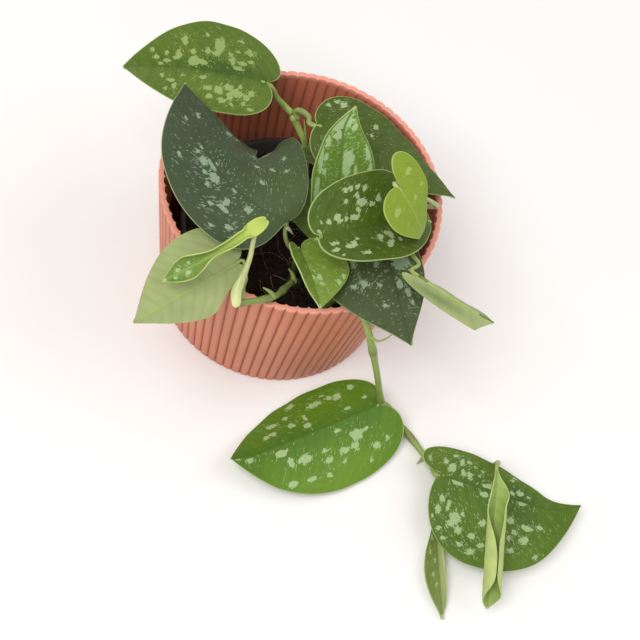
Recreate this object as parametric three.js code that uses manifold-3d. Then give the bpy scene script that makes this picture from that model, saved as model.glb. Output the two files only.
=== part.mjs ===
// Satin pothos: rooted vines with heart-shaped leaves in a black grower's pot,
// stood inside a reeded planter. Millimetres, +Z up, origin under the middle of
// the planter's flat base, the trailing vine towards +X and -Y.
import * as THREE from 'three';
import { mergeVertices } from 'three/addons/utils/BufferGeometryUtils.js';
import Module from 'manifold-3d';

const wasm = await Module();
wasm.setup();

// ---------------------------------------------------------------- dimensions

const GAP = 0.3; // clearance kept between neighbouring pieces

const PLANTER = {
  height: 106,
  rimRadius: 80, // over the crowns of the outer reeds
  baseRadius: 68,
  wall: 3, // crown to crown; the reeds show inside as flutes, so the wall is wavy
  floor: 4,
  footChamfer: 1.5,
  reeds: 80,
  reedDepth: 1.1, // groove below crown
  stepsPerReed: 3,
};

const NURSERY = {
  rimRadius: 63,
  topRadius: 61,
  baseRadius: 51,
  top: 64,
  rimHeight: 4,
  wall: 1.2,
  sides: 48,
};

const SOIL = { top: 54, bump: 1.6, rings: 5 };

const BLADE = {
  thickness: 0.8,
  midrib: 1.0, // how far the rib stands out underneath
  ribHalf: 0.07, // half-width of the rib, as a share of the half blade
  neck: 0.8, // half-width left at the sinus
  point: 0.3, // half-width left at the tip
  lobeShare: 0.45, // share of the length parameter that runs round the lobe
  dentHalf: 0.08, // usual half-length of a dent in the margin, in the same parameter
};

const BROAD = { along: 13, across: [-1, -0.72, -0.4, -BLADE.ribHalf, 0, BLADE.ribHalf, 0.4, 0.72, 1] };
const NOTCHED = { ...BROAD, along: 15 };
const FINE = { along: 9, across: [-1, -0.72, -0.4, -BLADE.ribHalf, 0, BLADE.ribHalf, 0.4, 0.72, 1] };
const PLAIN = { along: 8, across: [-1, -0.55, -BLADE.ribHalf, 0, BLADE.ribHalf, 0.55, 1] };

// A blade is stated by where its base sits and how it is carried: heading is the
// compass direction of the midrib (degrees from +X), pitch its rise, roll the
// lift of its left half. Pairs hold the left half first: width its half-width,
// lobe how far it reaches back as a share of the length, widest where it is
// widest, full how broad it stays towards the tip, curl how far it rolls up, dent
// how deep its margin is drawn in, at dentAt over dentHalf. fold is the valley
// along the midrib, droop and sweep how far the midrib bends down and to the left,
// tip and hook how far the very tip drops and bends left, twist how much more the
// left half lifts towards the tip. In a rolled leaf the curl grows over curlBy of
// the length and uncurl of it is lost again near the tip; cup closes the base
// between the lobes.
// The petiole runs from its node on a stem, by way of its bends, to the base,
// which it meets from behind or from under; a stipule may stand at its top.
const LEAVES = {
  leaf_back_left: {
    base: [-38, 42, 129], heading: 199, pitch: 17, roll: 0, length: 80, width: [25.4, 33],
    lobe: [0.08, 0.19], widest: [0.34, 0.34], full: [0.5, 0.46], fold: -9, curl: [4, 16], droop: 27,
    tip: 1, twist: -12, dent: [0.07, 0], dentAt: 0.5, grid: BROAD, finish: 'green',
    petiole: { from: [-20.5, 45.8, 106.5], via: [[-25, 45.5, 110.5], [-30, 44.5, 116.2]], radius: 1.75 },
  },
  leaf_back_right: {
    base: [-4, 26, 129], heading: -2, pitch: -1, roll: 3, length: 89, width: [33, 24], lobe: [0.06, 0.03],
    widest: [0.27, 0.27], full: [0.24, 0.24], fold: -12, curl: [2, -6], droop: 22, twist: -16,
    grid: BROAD, finish: 'green',
    petiole: {
      from: [-16, 44.8, 103.5], via: [[-17.5, 45.6, 109.5], [-14, 42.8, 114], [-9.5, 36, 120]], radius: 1.7,
    },
  },
  leaf_broad_dark: {
    base: [-1, -40, 128], heading: 191, pitch: 15.5, roll: -16, length: 99, width: [32, 62.5],
    lobe: [-0.06, 0.133], widest: [0.32, 0.255], full: [0.56, 0.4], fold: 5, curl: [-16, -45], droop: 38,
    twist: 55, sweep: -88, tip: 9, dent: [0, 0.51], dentAt: 0.54, dentHalf: 0.06, grid: NOTCHED,
    finish: 'dark',
    petiole: {
      from: [8.2, -40.4, 104], via: [[5.2, -41, 105.5], [1.6, -41.3, 110.5], [-1.2, -40.6, 118]],
      radius: 1.3, under: true,
    },
    stipule: { points: [[-0.9, -39.8, 121.5], [1, -40.3, 120.5], [3.2, -40.6, 118.5]], radius: 1.2 },
  },
  leaf_small_front: {
    base: [9, -49, 120], heading: -53, pitch: 5, roll: -21, length: 36, width: [23, 12],
    lobe: [0.21, 0.15], widest: [0.4, 0.4], full: [0.35, 0.35], fold: 13, curl: [10, 18], droop: 16,
    twist: -6, finish: 'green',
    petiole: { from: [10.5, -42.8, 103], via: [[10.5, -46.5, 111]], radius: 1.2, under: true, steps: 5 },
  },
  leaf_turned_over: {
    base: [-19, -70, 121], heading: 232, pitch: -5, roll: 158, length: 66, width: [27, 18],
    lobe: [0.14, 0.05], widest: [0.29, 0.29], full: [0.34, 0.34], fold: 5, curl: [4, 6], droop: 12,
    twist: 4, dent: [0, 0.42], dentAt: 0.38, finish: 'pale',
    petiole: { from: [-10.5, -85, 109.5], via: [[-12.2, -78.5, 111.5], [-13.5, -72.5, 116.5]], radius: 1.1 },
  },
  leaf_new_rolled: {
    base: [-17.5, -66.8, 148.5], heading: 232, pitch: -18, roll: -14, length: 51, width: [7.2, 7.2],
    lobe: [0.19, 0.19], widest: [0.66, 0.66], full: [0.85, 0.85], fold: 8, curl: [150, 165], curlBy: 0.07,
    uncurl: 0.75, droop: 4, sweep: -10, cup: 1, dent: [0.4, 0.4], dentAt: 0.34, finish: 'lime',
    petiole: {
      from: [-12.8, -88.4, 111.5],
      via: [[-14.7, -85.4, 117.5], [-14.2, -79.8, 123], [-13.8, -73.6, 135], [-14.8, -69.5, 143]],
      radius: 1.4, flare: 1.3, steps: 12,
    },
  },
  leaf_upright: {
    base: [22, -15, 112], heading: 116, pitch: 63, roll: 5, length: 62, width: [18, 19],
    lobe: [0.14, 0.15], widest: [0.37, 0.37], full: [0.5, 0.5], fold: 8, curl: [9, 9], droop: 12,
    hook: -7, finish: 'green',
    petiole: { from: [31, -2, 88], via: [[28, -10, 100]], radius: 1.3 },
  },
  leaf_centre_right: {
    base: [16, -50, 138], heading: 35, pitch: 4, roll: 14, length: 77, width: [29, 22],
    lobe: [0.09, 0.04], widest: [0.5, 0.5], full: [0.44, 0.44], fold: 15, curl: [4, 2], droop: 33, tip: 4,
    twist: -2, grid: BROAD, finish: 'green',
    petiole: {
      from: [30, -2, 78], via: [[30, -14, 92], [28, -22, 104], [23.5, -30, 117], [18.5, -41, 129]],
      radius: 1.5, under: true, steps: 10,
    },
  },
  leaf_young_lime: {
    base: [47, -19, 159.5], heading: -18, pitch: -36, roll: -5, length: 35, width: [21, 21],
    lobe: [0.5, 0.13], widest: [0.23, 0.23], full: [0.25, 0.25], fold: 0, curl: [2, 0], droop: 19, tip: 4,
    twist: -11, finish: 'lime',
    petiole: {
      from: [34, 1, 92], via: [[54, 11, 104], [66, 6, 117], [72.5, 4.5, 123.5], [64, -1, 134]], radius: 1.4,
    },
  },
  leaf_dark_front: {
    base: [46, -16, 116], heading: -62, pitch: 1, roll: 5, length: 72, width: [18, 37], lobe: [0.15, 0],
    widest: [0.37, 0.37], full: [0.27, 0.27], fold: -1, curl: [0, -9], droop: 5, twist: 1, finish: 'dark',
    petiole: { from: [35, -1, 93], via: [[40, -8, 106]], radius: 1.3 },
  },
  leaf_narrow_right: {
    base: [70, -46.5, 129], heading: -11, pitch: -8, roll: 178, length: 49, width: [8.5, 8],
    lobe: [0.2, 0.14], widest: [0.84, 0.84], full: [1, 1], fold: 32, curl: [24, 24], droop: 4,
    finish: 'pale',
    petiole: {
      from: [35, 1, 98], via: [[43, -2, 116], [57, -18, 122.5], [66, -33, 126.5], [71, -40, 129.5]],
      radius: 1.3, steps: 12,
    },
  },
  leaf_small_behind: {
    base: [16, 28, 101], heading: 186, pitch: 2, roll: 10, length: 28, width: [11, 9], lobe: [0.1, 0.1],
    widest: [0.3, 0.3], full: [0.3, 0.3], fold: 8, curl: [10, 10], droop: 6, grid: PLAIN, finish: 'dark',
    petiole: { from: [30, 2, 76], via: [[26, 15, 90]], radius: 1.0, steps: 5 },
  },
  leaf_shaded: {
    base: [20, -7, 101], heading: 205, pitch: -4, roll: 0, length: 23, width: [20, 22], lobe: [0, 0.12],
    widest: [0.4, 0.4], full: [0.4, 0.4], fold: 4, curl: [6, 6], droop: 10, grid: PLAIN, finish: 'dark',
    petiole: { from: [30.5, 0, 84], via: [[27, -1, 93]], radius: 1.1, steps: 5 },
  },
  leaf_trail_first: {
    base: [84, -66, 18], heading: 222, pitch: -4, roll: -5, length: 96, width: [37, 30],
    lobe: [0.15, 0.08], widest: [0.37, 0.37], full: [0.7, 0.7], fold: -15, curl: [-13, -12], droop: 0,
    tip: -6, twist: 21, grid: BROAD, finish: 'green',
    petiole: { from: [93, -63, 3.5], via: [[91, -63, 12]], radius: 1.4, steps: 5 },
  },
  leaf_trail_broad: {
    base: [129, -94.5, 13.5], heading: 3, pitch: -5, roll: -2, length: 85, width: [20.5, 49],
    lobe: [0.2, 0.08], widest: [0.22, 0.38], full: [0.32, 0.83], fold: -1, curl: [0, -12], droop: 0,
    tip: -9, twist: -17, hook: 3, grid: BROAD, finish: 'green',
    petiole: {
      from: [121.5, -83.5, 3.2], via: [[123.5, -87.5, 6.5], [125, -92, 10.5]], radius: 1.5, steps: 6,
    },
  },
  leaf_trail_rolled: {
    base: [153.8, -97.3, 47], heading: -73.5, pitch: -31, roll: 0, length: 77, width: [16, 16],
    lobe: [-0.1, -0.3], widest: [0.66, 0.66], full: [1, 1], fold: 10, curl: [150, 165], curlBy: 0.25,
    droop: -7, finish: 'pale',
    petiole: {
      from: [148, -86, 2.8],
      via: [[155, -79, 2.4], [160, -72.5, 2.6], [161.6, -71.6, 7], [160, -77.5, 18], [155.8, -88, 36]],
      radius: 1.2, steps: 14,
    },
  },
  leaf_trail_narrow: {
    base: [131, -110, 5.5], heading: -72, pitch: -4, roll: 0, length: 67, width: [8.5, 9],
    lobe: [-0.25, -0.3], widest: [0.5, 0.62], full: [0.35, 0.5], fold: 6, curl: [150, 14], curlBy: 0.4,
    droop: -3, finish: 'dark',
    petiole: { from: [131, -86, 3], via: [[129.5, -93, 4.2], [129.5, -101, 5]], radius: 1.1, steps: 6 },
  },
};

// ------------------------------------------------------------------- helpers

const rad = THREE.MathUtils.degToRad;

/** A solid of manifold-3d from a closed geometry. */
function toSolid(geometry) {
  const bare = geometry.clone();
  bare.deleteAttribute('normal');
  bare.deleteAttribute('uv');
  const merged = mergeVertices(bare, 1e-4);
  return new wasm.Manifold(new wasm.Mesh({
    numProp: 3,
    vertProperties: new Float32Array(merged.attributes.position.array),
    triVerts: new Uint32Array(merged.index.array),
  }));
}

/** A geometry of three.js from a solid. */
function toGeometry(solid) {
  const mesh = solid.getMesh();
  const geometry = new THREE.BufferGeometry();
  geometry.setAttribute('position', new THREE.BufferAttribute(new Float32Array(mesh.vertProperties), 3));
  geometry.setIndex(new THREE.BufferAttribute(new Uint32Array(mesh.triVerts), 1));
  geometry.computeVertexNormals();
  return geometry;
}

/** A round tube through points; radius is a function of the share of its length. */
function tube(points, radius, { sides = 6, steps = 10, grow = 0 } = {}) {
  const path = new THREE.CatmullRomCurve3(points.map((p) => new THREE.Vector3(...p)), false, 'centripetal');
  const frames = path.computeFrenetFrames(steps, false);
  const geometry = new THREE.CylinderGeometry(1, 1, 1, sides, steps);
  const at = geometry.attributes.position;
  const p = new THREE.Vector3();
  for (let i = 0; i < at.count; i += 1) {
    p.fromBufferAttribute(at, i);
    const share = p.y + 0.5;
    const step = Math.round(share * steps);
    const size = radius(share) + grow;
    const place = path.getPointAt(share)
      .addScaledVector(frames.tangents[step], grow * (share < 0.01 ? -1 : share > 0.99 ? 1 : 0))
      .addScaledVector(frames.normals[step], p.x * size)
      .addScaledVector(frames.binormals[step], -p.z * size);
    at.setXYZ(i, place.x, place.y, place.z);
  }
  return geometry;
}

// --------------------------------------------------------------------- blade

/** Half outline of a blade in its own plane, x along the midrib, y sideways. */
function halfOutline(leaf, side) {
  const { length, cup = 0 } = leaf;
  const width = leaf.width[side];
  const widest = leaf.widest[side];
  const lobe = leaf.lobe[side] * length;
  const broad = new THREE.Vector2(widest * length, width);
  const { dent = [0, 0], dentAt = 0.5, dentHalf = BLADE.dentHalf } = leaf;
  const back = new THREE.CubicBezierCurve(
    new THREE.Vector2(-cup * lobe, BLADE.neck),
    new THREE.Vector2(-1.1 * lobe, 0.12 * width),
    new THREE.Vector2(-1.15 * lobe, width),
    broad,
  );
  const front = new THREE.CubicBezierCurve(
    broad,
    new THREE.Vector2((widest + 0.4 * (1 - widest)) * length, width),
    new THREE.Vector2(0.84 * length, leaf.full[side] * width),
    new THREE.Vector2(length, BLADE.point),
  );
  const split = BLADE.lobeShare;
  return (u) => {
    const edge = u < split ? back.getPoint(u / split) : front.getPoint((u - split) / (1 - split));
    edge.y *= 1 - dent[side] * Math.exp(-(((u - dentAt) / dentHalf) ** 2));
    return edge;
  };
}

/** The three directions of a blade at its base: along, left and up. */
function bladeFrame({ heading, pitch, roll }) {
  const [h, p, r] = [rad(heading), rad(pitch), rad(roll)];
  const along = new THREE.Vector3(Math.cos(p) * Math.cos(h), Math.cos(p) * Math.sin(h), Math.sin(p));
  const level = new THREE.Vector3(-Math.sin(h), Math.cos(h), 0);
  const lift = new THREE.Vector3().crossVectors(along, level);
  const left = level.clone().multiplyScalar(Math.cos(r)).addScaledVector(lift, Math.sin(r));
  const up = new THREE.Vector3().crossVectors(along, left);
  return { along, left, up };
}

/** Keeps a curvature off zero, where the arc formulas divide by it. */
const bent = (value) => (Math.abs(value) < 1e-5 ? 1e-5 : value);

/** The blade's middle surface: a function of u, base to tip, and v, right to left margin. */
function bladeSurface(leaf) {
  const { along, left, up } = bladeFrame(leaf);
  const base = new THREE.Vector3(...leaf.base);
  const { length, curlBy = 0, uncurl = 0, tip = 0, twist = 0, sweep = 0, hook = 0, cup = 0 } = leaf;
  const heel = -cup * leaf.lobe[0] * length;
  const outlines = [halfOutline(leaf, 0), halfOutline(leaf, 1)];
  const fold = rad(leaf.fold);
  return (u, v) => {
    const half = v >= 0 ? 0 : 1;
    const sign = v >= 0 ? 1 : -1;
    const edge = outlines[half](u);
    const share = Math.abs(v);
    const x = (1 - share) * (heel + u * (length - heel)) + share * edge.x;
    const y = share * edge.y;
    const width = leaf.width[half];
    // cross-section: an arc that starts at the fold's angle
    const grown = (curlBy > 0 ? THREE.MathUtils.smoothstep(x / length, 0, curlBy) : 1)
      * (1 - uncurl * THREE.MathUtils.smoothstep(x / length, 0.4, 0.75));
    const last = THREE.MathUtils.clamp((x / length - 0.75) / 0.25, 0, 1) ** 2;
    const curl = bent(rad(leaf.curl[half]) * grown);
    const out = sign * (width / curl) * (Math.sin(fold + curl * y / width) - Math.sin(fold)) + hook * last;
    const rise = (width / curl) * (Math.cos(fold) - Math.cos(fold + curl * y / width))
      - tip * last;
    const turn = rad(twist) * x / length;
    const side = out * Math.cos(turn) - rise * Math.sin(turn);
    const high = out * Math.sin(turn) + rise * Math.cos(turn);
    // sideways bend of the midrib, then its droop
    const swing = bent(rad(sweep) / length);
    const ahead = Math.sin(swing * x) / swing - side * Math.sin(swing * x);
    const across = (1 - Math.cos(swing * x)) / swing + side * Math.cos(swing * x);
    const sag = bent(rad(leaf.droop) / length);
    const angle = sag * ahead;
    return base.clone()
      .addScaledVector(along, Math.sin(angle) / sag + high * Math.sin(angle))
      .addScaledVector(left, across)
      .addScaledVector(up, -(1 - Math.cos(angle)) / sag + high * Math.cos(angle));
  };
}

/** A blade as a closed shell, both faces split into triangles alike. */
function bladeGeometry(leaf) {
  const { along: rows, across } = leaf.grid ?? FINE;
  const surface = bladeSurface(leaf);
  const columns = across.length - 1;
  const points = [];
  const step = 1e-3;
  const faces = [[], []];
  for (let i = 0; i <= rows; i += 1) {
    const u = i / rows;
    for (let j = 0; j <= columns; j += 1) {
      const v = across[j];
      const here = surface(u, v);
      // the normal is read just inside the blade, where neighbours lie on both sides
      const uIn = THREE.MathUtils.clamp(u, 0.02, 0.98);
      const vIn = THREE.MathUtils.clamp(v, -0.98, 0.98);
      const du = surface(uIn + step, vIn).sub(surface(uIn - step, vIn));
      const dv = surface(uIn, vIn + step).sub(surface(uIn, vIn - step));
      const normal = du.cross(dv).normalize();
      const rib = v === 0 ? BLADE.midrib * (1 - 0.8 * u) : 0;
      faces[0].push(here.clone().addScaledVector(normal, BLADE.thickness / 2));
      faces[1].push(here.clone().addScaledVector(normal, -BLADE.thickness / 2 - rib));
    }
  }
  const count = (rows + 1) * (columns + 1);
  faces.flat().forEach((p) => points.push(p.x, p.y, p.z));
  const index = [];
  const at = (i, j) => i * (columns + 1) + j;
  for (let i = 0; i < rows; i += 1) {
    for (let j = 0; j < columns; j += 1) {
      const [a, b, c, d] = [at(i, j), at(i + 1, j), at(i + 1, j + 1), at(i, j + 1)];
      index.push(a, b, c, a, c, d);
      index.push(count + a, count + c, count + b, count + a, count + d, count + c);
    }
  }
  const wall = (a, b) => index.push(a, count + b, b, a, count + a, count + b);
  for (let i = 0; i < rows; i += 1) {
    wall(at(i, 0), at(i + 1, 0));
    wall(at(i + 1, columns), at(i, columns));
  }
  for (let j = 0; j < columns; j += 1) {
    wall(at(0, j + 1), at(0, j));
    wall(at(rows, j), at(rows, j + 1));
  }
  const geometry = new THREE.BufferGeometry();
  geometry.setAttribute('position', new THREE.BufferAttribute(new Float32Array(points), 3));
  geometry.setIndex(index);
  return geometry;
}

/** The petiole's points, ending inside the blade's midrib. */
function petiolePoints(leaf) {
  const { along, up } = bladeFrame(leaf);
  const base = new THREE.Vector3(...leaf.base);
  const radius = leaf.petiole.radius;
  const back = leaf.petiole.under ? [-0.3 * radius, -3 * radius] : [-2 * radius, -1.2 * radius];
  const entry = base.clone().addScaledVector(along, back[0]).addScaledVector(up, back[1]);
  const end = base.clone().addScaledVector(along, 1.5 * radius).addScaledVector(up, -0.6 * radius);
  return [leaf.petiole.from, ...leaf.petiole.via, entry.toArray(), end.toArray()];
}

/** A leaf: blade and petiole in one body, cut clear of the stem that it clasps. */
function leafGeometry(leaf, clearances) {
  const { radius, flare = 0, steps = 7 } = leaf.petiole;
  const size = (s) => radius * (1.15 - 0.35 * s) + flare * Math.exp(-(((s - 0.13) / 0.2) ** 2));
  const stalk = tube(petiolePoints(leaf), size, { steps });
  let solid = toSolid(bladeGeometry(leaf)).add(toSolid(stalk));
  if (leaf.stipule) {
    const { points, radius: foot } = leaf.stipule;
    solid = solid.add(toSolid(tube(points, (s) => foot * (1 - 0.8 * s), { steps: 4 })));
  }
  clearances.forEach((clearance) => {
    solid = solid.subtract(clearance);
  });
  // the clasping foot may leave loose slivers; the leaf itself is the largest body
  const bodies = solid.decompose();
  return toGeometry(bodies.reduce((a, b) => (a.volume() > b.volume() ? a : b)));
}

// --------------------------------------------------------------------- stems

const NODE = { swell: 0.28, half: 0.025 }; // extra radius share and half-length share of a joint

// A stem runs from its root in the soil; nodes are shares of its length where it
// swells. Its offshoots are pointed sheaths, aerial roots and tendrils.
const STEMS = {
  stem_crown: {
    points: [[1, 34, 34], [0, 35, 54], [-3, 38, 76], [-7, 40.5, 90], [-13.9, 43.2, 99], [-18.5, 45, 104.5]],
    radius: 2.2, nodes: [0.72, 0.97],
    offshoots: [{ points: [[-5.7, 38.6, 88], [-8.2, 39.4, 99], [-11.7, 42, 109]], radius: 1.7 }],
  },
  stem_centre: {
    points: [[11, -28, 34], [11, -30, 54], [10, -36, 80], [9, -40.8, 102.5]],
    radius: 1.9, nodes: [0.96],
  },
  stem_right: {
    points: [[30, 2, 34], [30, 1, 54], [31, 0, 78], [34, 0, 99]],
    radius: 2.3, nodes: [0.72, 0.86, 0.97],
  },
  stem_lime: {
    points: [
      [15, -27, 34], [15, -31, 54], [14, -44, 80], [11.5, -54.5, 96], [8.8, -64.5, 104], [5.9, -73.6, 109.4],
      [3.7, -76.7, 110.2], [-2.5, -81.3, 110.6], [-9, -85.4, 110.8], [-12.6, -87.8, 111],
    ],
    radius: 1.9, nodes: [0.74, 0.86, 0.98], steps: 26,
    offshoots: [
      { points: [[4.1, -76.2, 111], [1.5, -76, 113.5], [-2.5, -76.2, 115.5]], radius: 1.7 },
      { points: [[12, -55, 97], [10, -53.5, 101], [7.1, -52.8, 104]], radius: 1.9 },
    ],
  },
  stem_trailing: {
    points: [
      [34, -38, 34], [34, -39.5, 54], [38, -47, 84], [41.6, -53, 102.5], [44.6, -58.2, 108.6],
      [48.3, -64.2, 110], [52.8, -69.6, 109.4], [57.5, -73.2, 103.8], [61.5, -73.6, 94], [68, -71.6, 74],
      [75.4, -69.3, 50], [81.1, -65.2, 28], [86, -61.9, 10], [90.1, -62.2, 4.2], [96, -64.3, 2.9],
      [102.6, -68.1, 2.8], [111.8, -74.9, 2.8], [119.5, -80.8, 2.8], [127, -83.6, 2.8], [138, -85.5, 2.8],
      [148, -86, 2.8],
    ],
    radius: 2.1, nodes: [0.27, 0.45, 0.71, 0.84, 0.92], steps: 46, taper: 0.2,
    offshoots: [
      { points: [[58, -73.5, 102], [63.5, -75.8, 101], [67, -75, 103.5], [70.5, -71.5, 107]], radius: 1.0 },
      { points: [[119, -81.5, 2.8], [117.6, -84.4, 2.4], [116.2, -87, 1.8]], radius: 1.4 },
    ],
  },
};

/** A stem with its offshoots in one body, grown outward all round by grow. */
function stemSolid({ points, radius, nodes, taper = 0.15, steps = 18, offshoots = [] }, grow = 0) {
  const swelling = (s) => nodes
    .reduce((sum, at) => sum + NODE.swell * Math.exp(-(((s - at) / NODE.half) ** 2)), 0);
  const size = (s) => radius * (1 - taper * s + swelling(s));
  let solid = toSolid(tube(points, size, { sides: 8, steps, grow }));
  offshoots.forEach((shoot) => {
    const shape = tube(shoot.points, (s) => shoot.radius * (1 - 0.8 * s), { steps: 5, grow });
    solid = solid.add(toSolid(shape));
  });
  return solid;
}

// ------------------------------------------------------------------- holders

/** Depth of the reeded wall below its crowns at an angle. */
function reedDepth(angle) {
  const phase = (angle * PLANTER.reeds) / (2 * Math.PI);
  const offset = 2 * (phase - Math.floor(phase)) - 1;
  return PLANTER.reedDepth * (1 - Math.sqrt(Math.max(0, 1 - offset * offset)));
}

/** The planter: a reeded cup on a flat base. */
function planterGeometry() {
  const { height, rimRadius, baseRadius, wall, floor, footChamfer, reeds, stepsPerReed } = PLANTER;
  const radiusAt = (z) => baseRadius + (rimRadius - baseRadius) * z / height;
  const profile = [
    [0, 0], [baseRadius - footChamfer, 0], [radiusAt(footChamfer), footChamfer], [rimRadius, height],
    [rimRadius - wall, height], [radiusAt(floor) - wall, floor], [0, floor],
  ].map(([r, z]) => new THREE.Vector2(r, z));
  const geometry = new THREE.LatheGeometry(profile, reeds * stepsPerReed);
  const at = geometry.attributes.position;
  for (let i = 0; i < at.count; i += 1) {
    const [x, z, y] = [at.getX(i), at.getY(i), at.getZ(i)];
    const radius = Math.hypot(x, y);
    const angle = Math.atan2(y, x) + 2 * Math.PI;
    const scale = radius < 1 ? 0 : (radius - reedDepth(angle)) / radius;
    at.setXYZ(i, x * scale, z, y * scale);
  }
  geometry.rotateX(Math.PI / 2);
  return geometry;
}

/** A closed body turned from a profile of radius and height. */
function turned(profile) {
  const geometry = new THREE.LatheGeometry(profile.map(([r, z]) => new THREE.Vector2(r, z)), NURSERY.sides);
  return geometry.rotateX(Math.PI / 2);
}

const NURSERY_FLOOR = PLANTER.floor + GAP;

/** The grower's pot: a thin tapered cup with a rolled rim, standing on the planter's floor. */
function nurseryGeometry() {
  const { rimRadius, topRadius, baseRadius, top, rimHeight, wall } = NURSERY;
  return turned([
    [0, NURSERY_FLOOR], [baseRadius, NURSERY_FLOOR],
    [topRadius, top - rimHeight], [rimRadius, top - rimHeight],
    [rimRadius, top], [topRadius - wall, top],
    [baseRadius - wall, NURSERY_FLOOR + wall], [0, NURSERY_FLOOR + wall],
  ]);
}

/** The soil: fills the grower's pot to an uneven top. */
function soilGeometry() {
  const { topRadius, baseRadius, top, wall } = NURSERY;
  const low = NURSERY_FLOOR + wall;
  const bottom = low + GAP;
  const inner = (z) => baseRadius - wall + (topRadius - baseRadius) * (z - low) / (top - low);
  const topRing = Array.from({ length: SOIL.rings }, (_, i) => [
    (inner(SOIL.top) - GAP) * (1 - i / SOIL.rings), SOIL.top,
  ]);
  const geometry = turned([[0, bottom], [inner(bottom) - GAP, bottom], ...topRing, [0, SOIL.top]]);
  const at = geometry.attributes.position;
  const middle = new THREE.Vector2();
  for (let i = 0; i < at.count; i += 1) {
    middle.set(at.getX(i), at.getY(i));
    const inside = middle.length() < inner(SOIL.top) - 1;
    if (inside && at.getZ(i) > SOIL.top - 1) {
      const broad = Math.sin(middle.x * 0.16 + 1) * Math.cos(middle.y * 0.19);
      const fine = 0.6 * Math.sin(middle.x * 0.31 - middle.y * 0.27);
      at.setZ(i, SOIL.top + SOIL.bump * (broad + fine));
    }
  }
  return geometry;
}

const group = new THREE.Group();

/** Adds one named piece to the object. */
function addPiece(name, geometry, { color, roughness, metalness = 0 }) {
  const mesh = new THREE.Mesh(geometry, new THREE.MeshStandardMaterial({ color, roughness, metalness }));
  mesh.name = name;
  group.add(mesh);
}

const FINISH = {
  planter: { color: 0xd98b7a, roughness: 0.6 },
  nursery: { color: 0x2c2c2e, roughness: 0.55 },
  soil: { color: 0x241b15, roughness: 0.95 },
  stem: { color: 0x7f9a45, roughness: 0.5 },
  green: { color: 0x567f36, roughness: 0.5 },
  dark: { color: 0x3a5540, roughness: 0.5 },
  lime: { color: 0xa4bf3e, roughness: 0.5 },
  pale: { color: 0xa7b98a, roughness: 0.6 },
};

const clearances = Object.values(STEMS).map((stem) => stemSolid(stem, GAP));
const soil = clearances.reduce((body, hole) => body.subtract(hole), toSolid(soilGeometry()));

addPiece('planter', planterGeometry(), FINISH.planter);
addPiece('nursery_pot', nurseryGeometry(), FINISH.nursery);
addPiece('soil', toGeometry(soil), FINISH.soil);
Object.entries(STEMS).forEach(([name, stem]) => addPiece(name, toGeometry(stemSolid(stem)), FINISH.stem));
Object.entries(LEAVES).forEach(([name, leaf]) => {
  addPiece(name, leafGeometry(leaf, clearances), FINISH[leaf.finish]);
});

export default group;
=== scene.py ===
"""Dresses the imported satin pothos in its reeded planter: fine meshes, finishes, camera, light."""

import logging
import math
from dataclasses import dataclass, field, replace
from enum import Enum
from typing import Any, Callable

import bpy
import numpy as np
from mathutils import Matrix, Vector, noise


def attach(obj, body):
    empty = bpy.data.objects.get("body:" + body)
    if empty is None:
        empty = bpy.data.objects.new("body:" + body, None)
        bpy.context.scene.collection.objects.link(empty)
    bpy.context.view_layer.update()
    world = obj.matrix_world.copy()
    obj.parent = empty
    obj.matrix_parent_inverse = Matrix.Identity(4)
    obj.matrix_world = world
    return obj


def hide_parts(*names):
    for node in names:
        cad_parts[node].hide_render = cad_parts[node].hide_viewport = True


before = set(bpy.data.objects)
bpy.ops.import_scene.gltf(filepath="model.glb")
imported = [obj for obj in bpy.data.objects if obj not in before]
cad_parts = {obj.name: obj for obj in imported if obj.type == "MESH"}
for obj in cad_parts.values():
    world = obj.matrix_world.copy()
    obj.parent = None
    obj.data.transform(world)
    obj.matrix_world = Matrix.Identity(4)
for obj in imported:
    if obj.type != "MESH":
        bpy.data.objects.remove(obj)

LOG = logging.getLogger("pothos")
MM = 0.001  # every size below is in millimetres, every mesh in metres
BODY = "root"

Vec = tuple[float, float, float]
Pair = tuple[float, float]
Colour = tuple[float, float, float, float]
Array = np.ndarray


class Slot(Enum):
    """The material slots."""

    PLANTER = "planter"
    NURSERY = "nursery_pot"
    SOIL = "soil"
    STEM = "stem"
    GREEN = "leaf_green"
    DARK = "leaf_dark"
    LIME = "leaf_lime"
    PALE = "leaf_pale"


# ------------------------------------------------------------------ small tools


def paint(red: int, green: int, blue: int) -> Colour:
    """Turns a screen colour, 0 to 255 each, into a shader's linear colour."""
    linear = [
        ((c / 255 + 0.055) / 1.055) ** 2.4 if c > 10 else c / 3295 for c in (red, green, blue)
    ]
    return (*linear, 1.0)


def shaded(colour: Colour, times: float, lift: float = 0.0) -> Colour:
    """A colour made darker or paler."""
    return (*(min(1.0, c * times + lift) for c in colour[:3]), 1.0)


def ease(value: Array, low: float, high: float) -> Array:
    """Rises smoothly from 0 at low to 1 at high."""
    share = np.clip((value - low) / (high - low), 0, 1)
    return share * share * (3 - 2 * share)


def hump(value: Array, middle: float, half: float) -> Array:
    """A bell of height 1 at middle that is down to about a third at half away."""
    return np.exp(-(((value - middle) / half) ** 2))


def deselect() -> None:
    """Leaves edit mode and deselects everything."""
    if bpy.context.object and bpy.context.object.mode != "OBJECT":
        bpy.ops.object.mode_set(mode="OBJECT")
    bpy.ops.object.select_all(action="DESELECT")


def select(piece: bpy.types.Object) -> None:
    """Makes a piece the only selected and the active one."""
    deselect()
    piece.select_set(True)
    bpy.context.view_layer.objects.active = piece


def vertices_of(piece: bpy.types.Object) -> Array:
    """A piece's vertices, one row each, in metres."""
    flat = np.empty(len(piece.data.vertices) * 3)
    piece.data.vertices.foreach_get("co", flat)
    return flat.reshape(-1, 3)


def move_vertices(piece: bpy.types.Object, places: Array) -> None:
    """Puts a piece's vertices at the given places in millimetres."""
    piece.data.vertices.foreach_set("co", (places * MM).ravel())
    piece.data.update()


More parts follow.
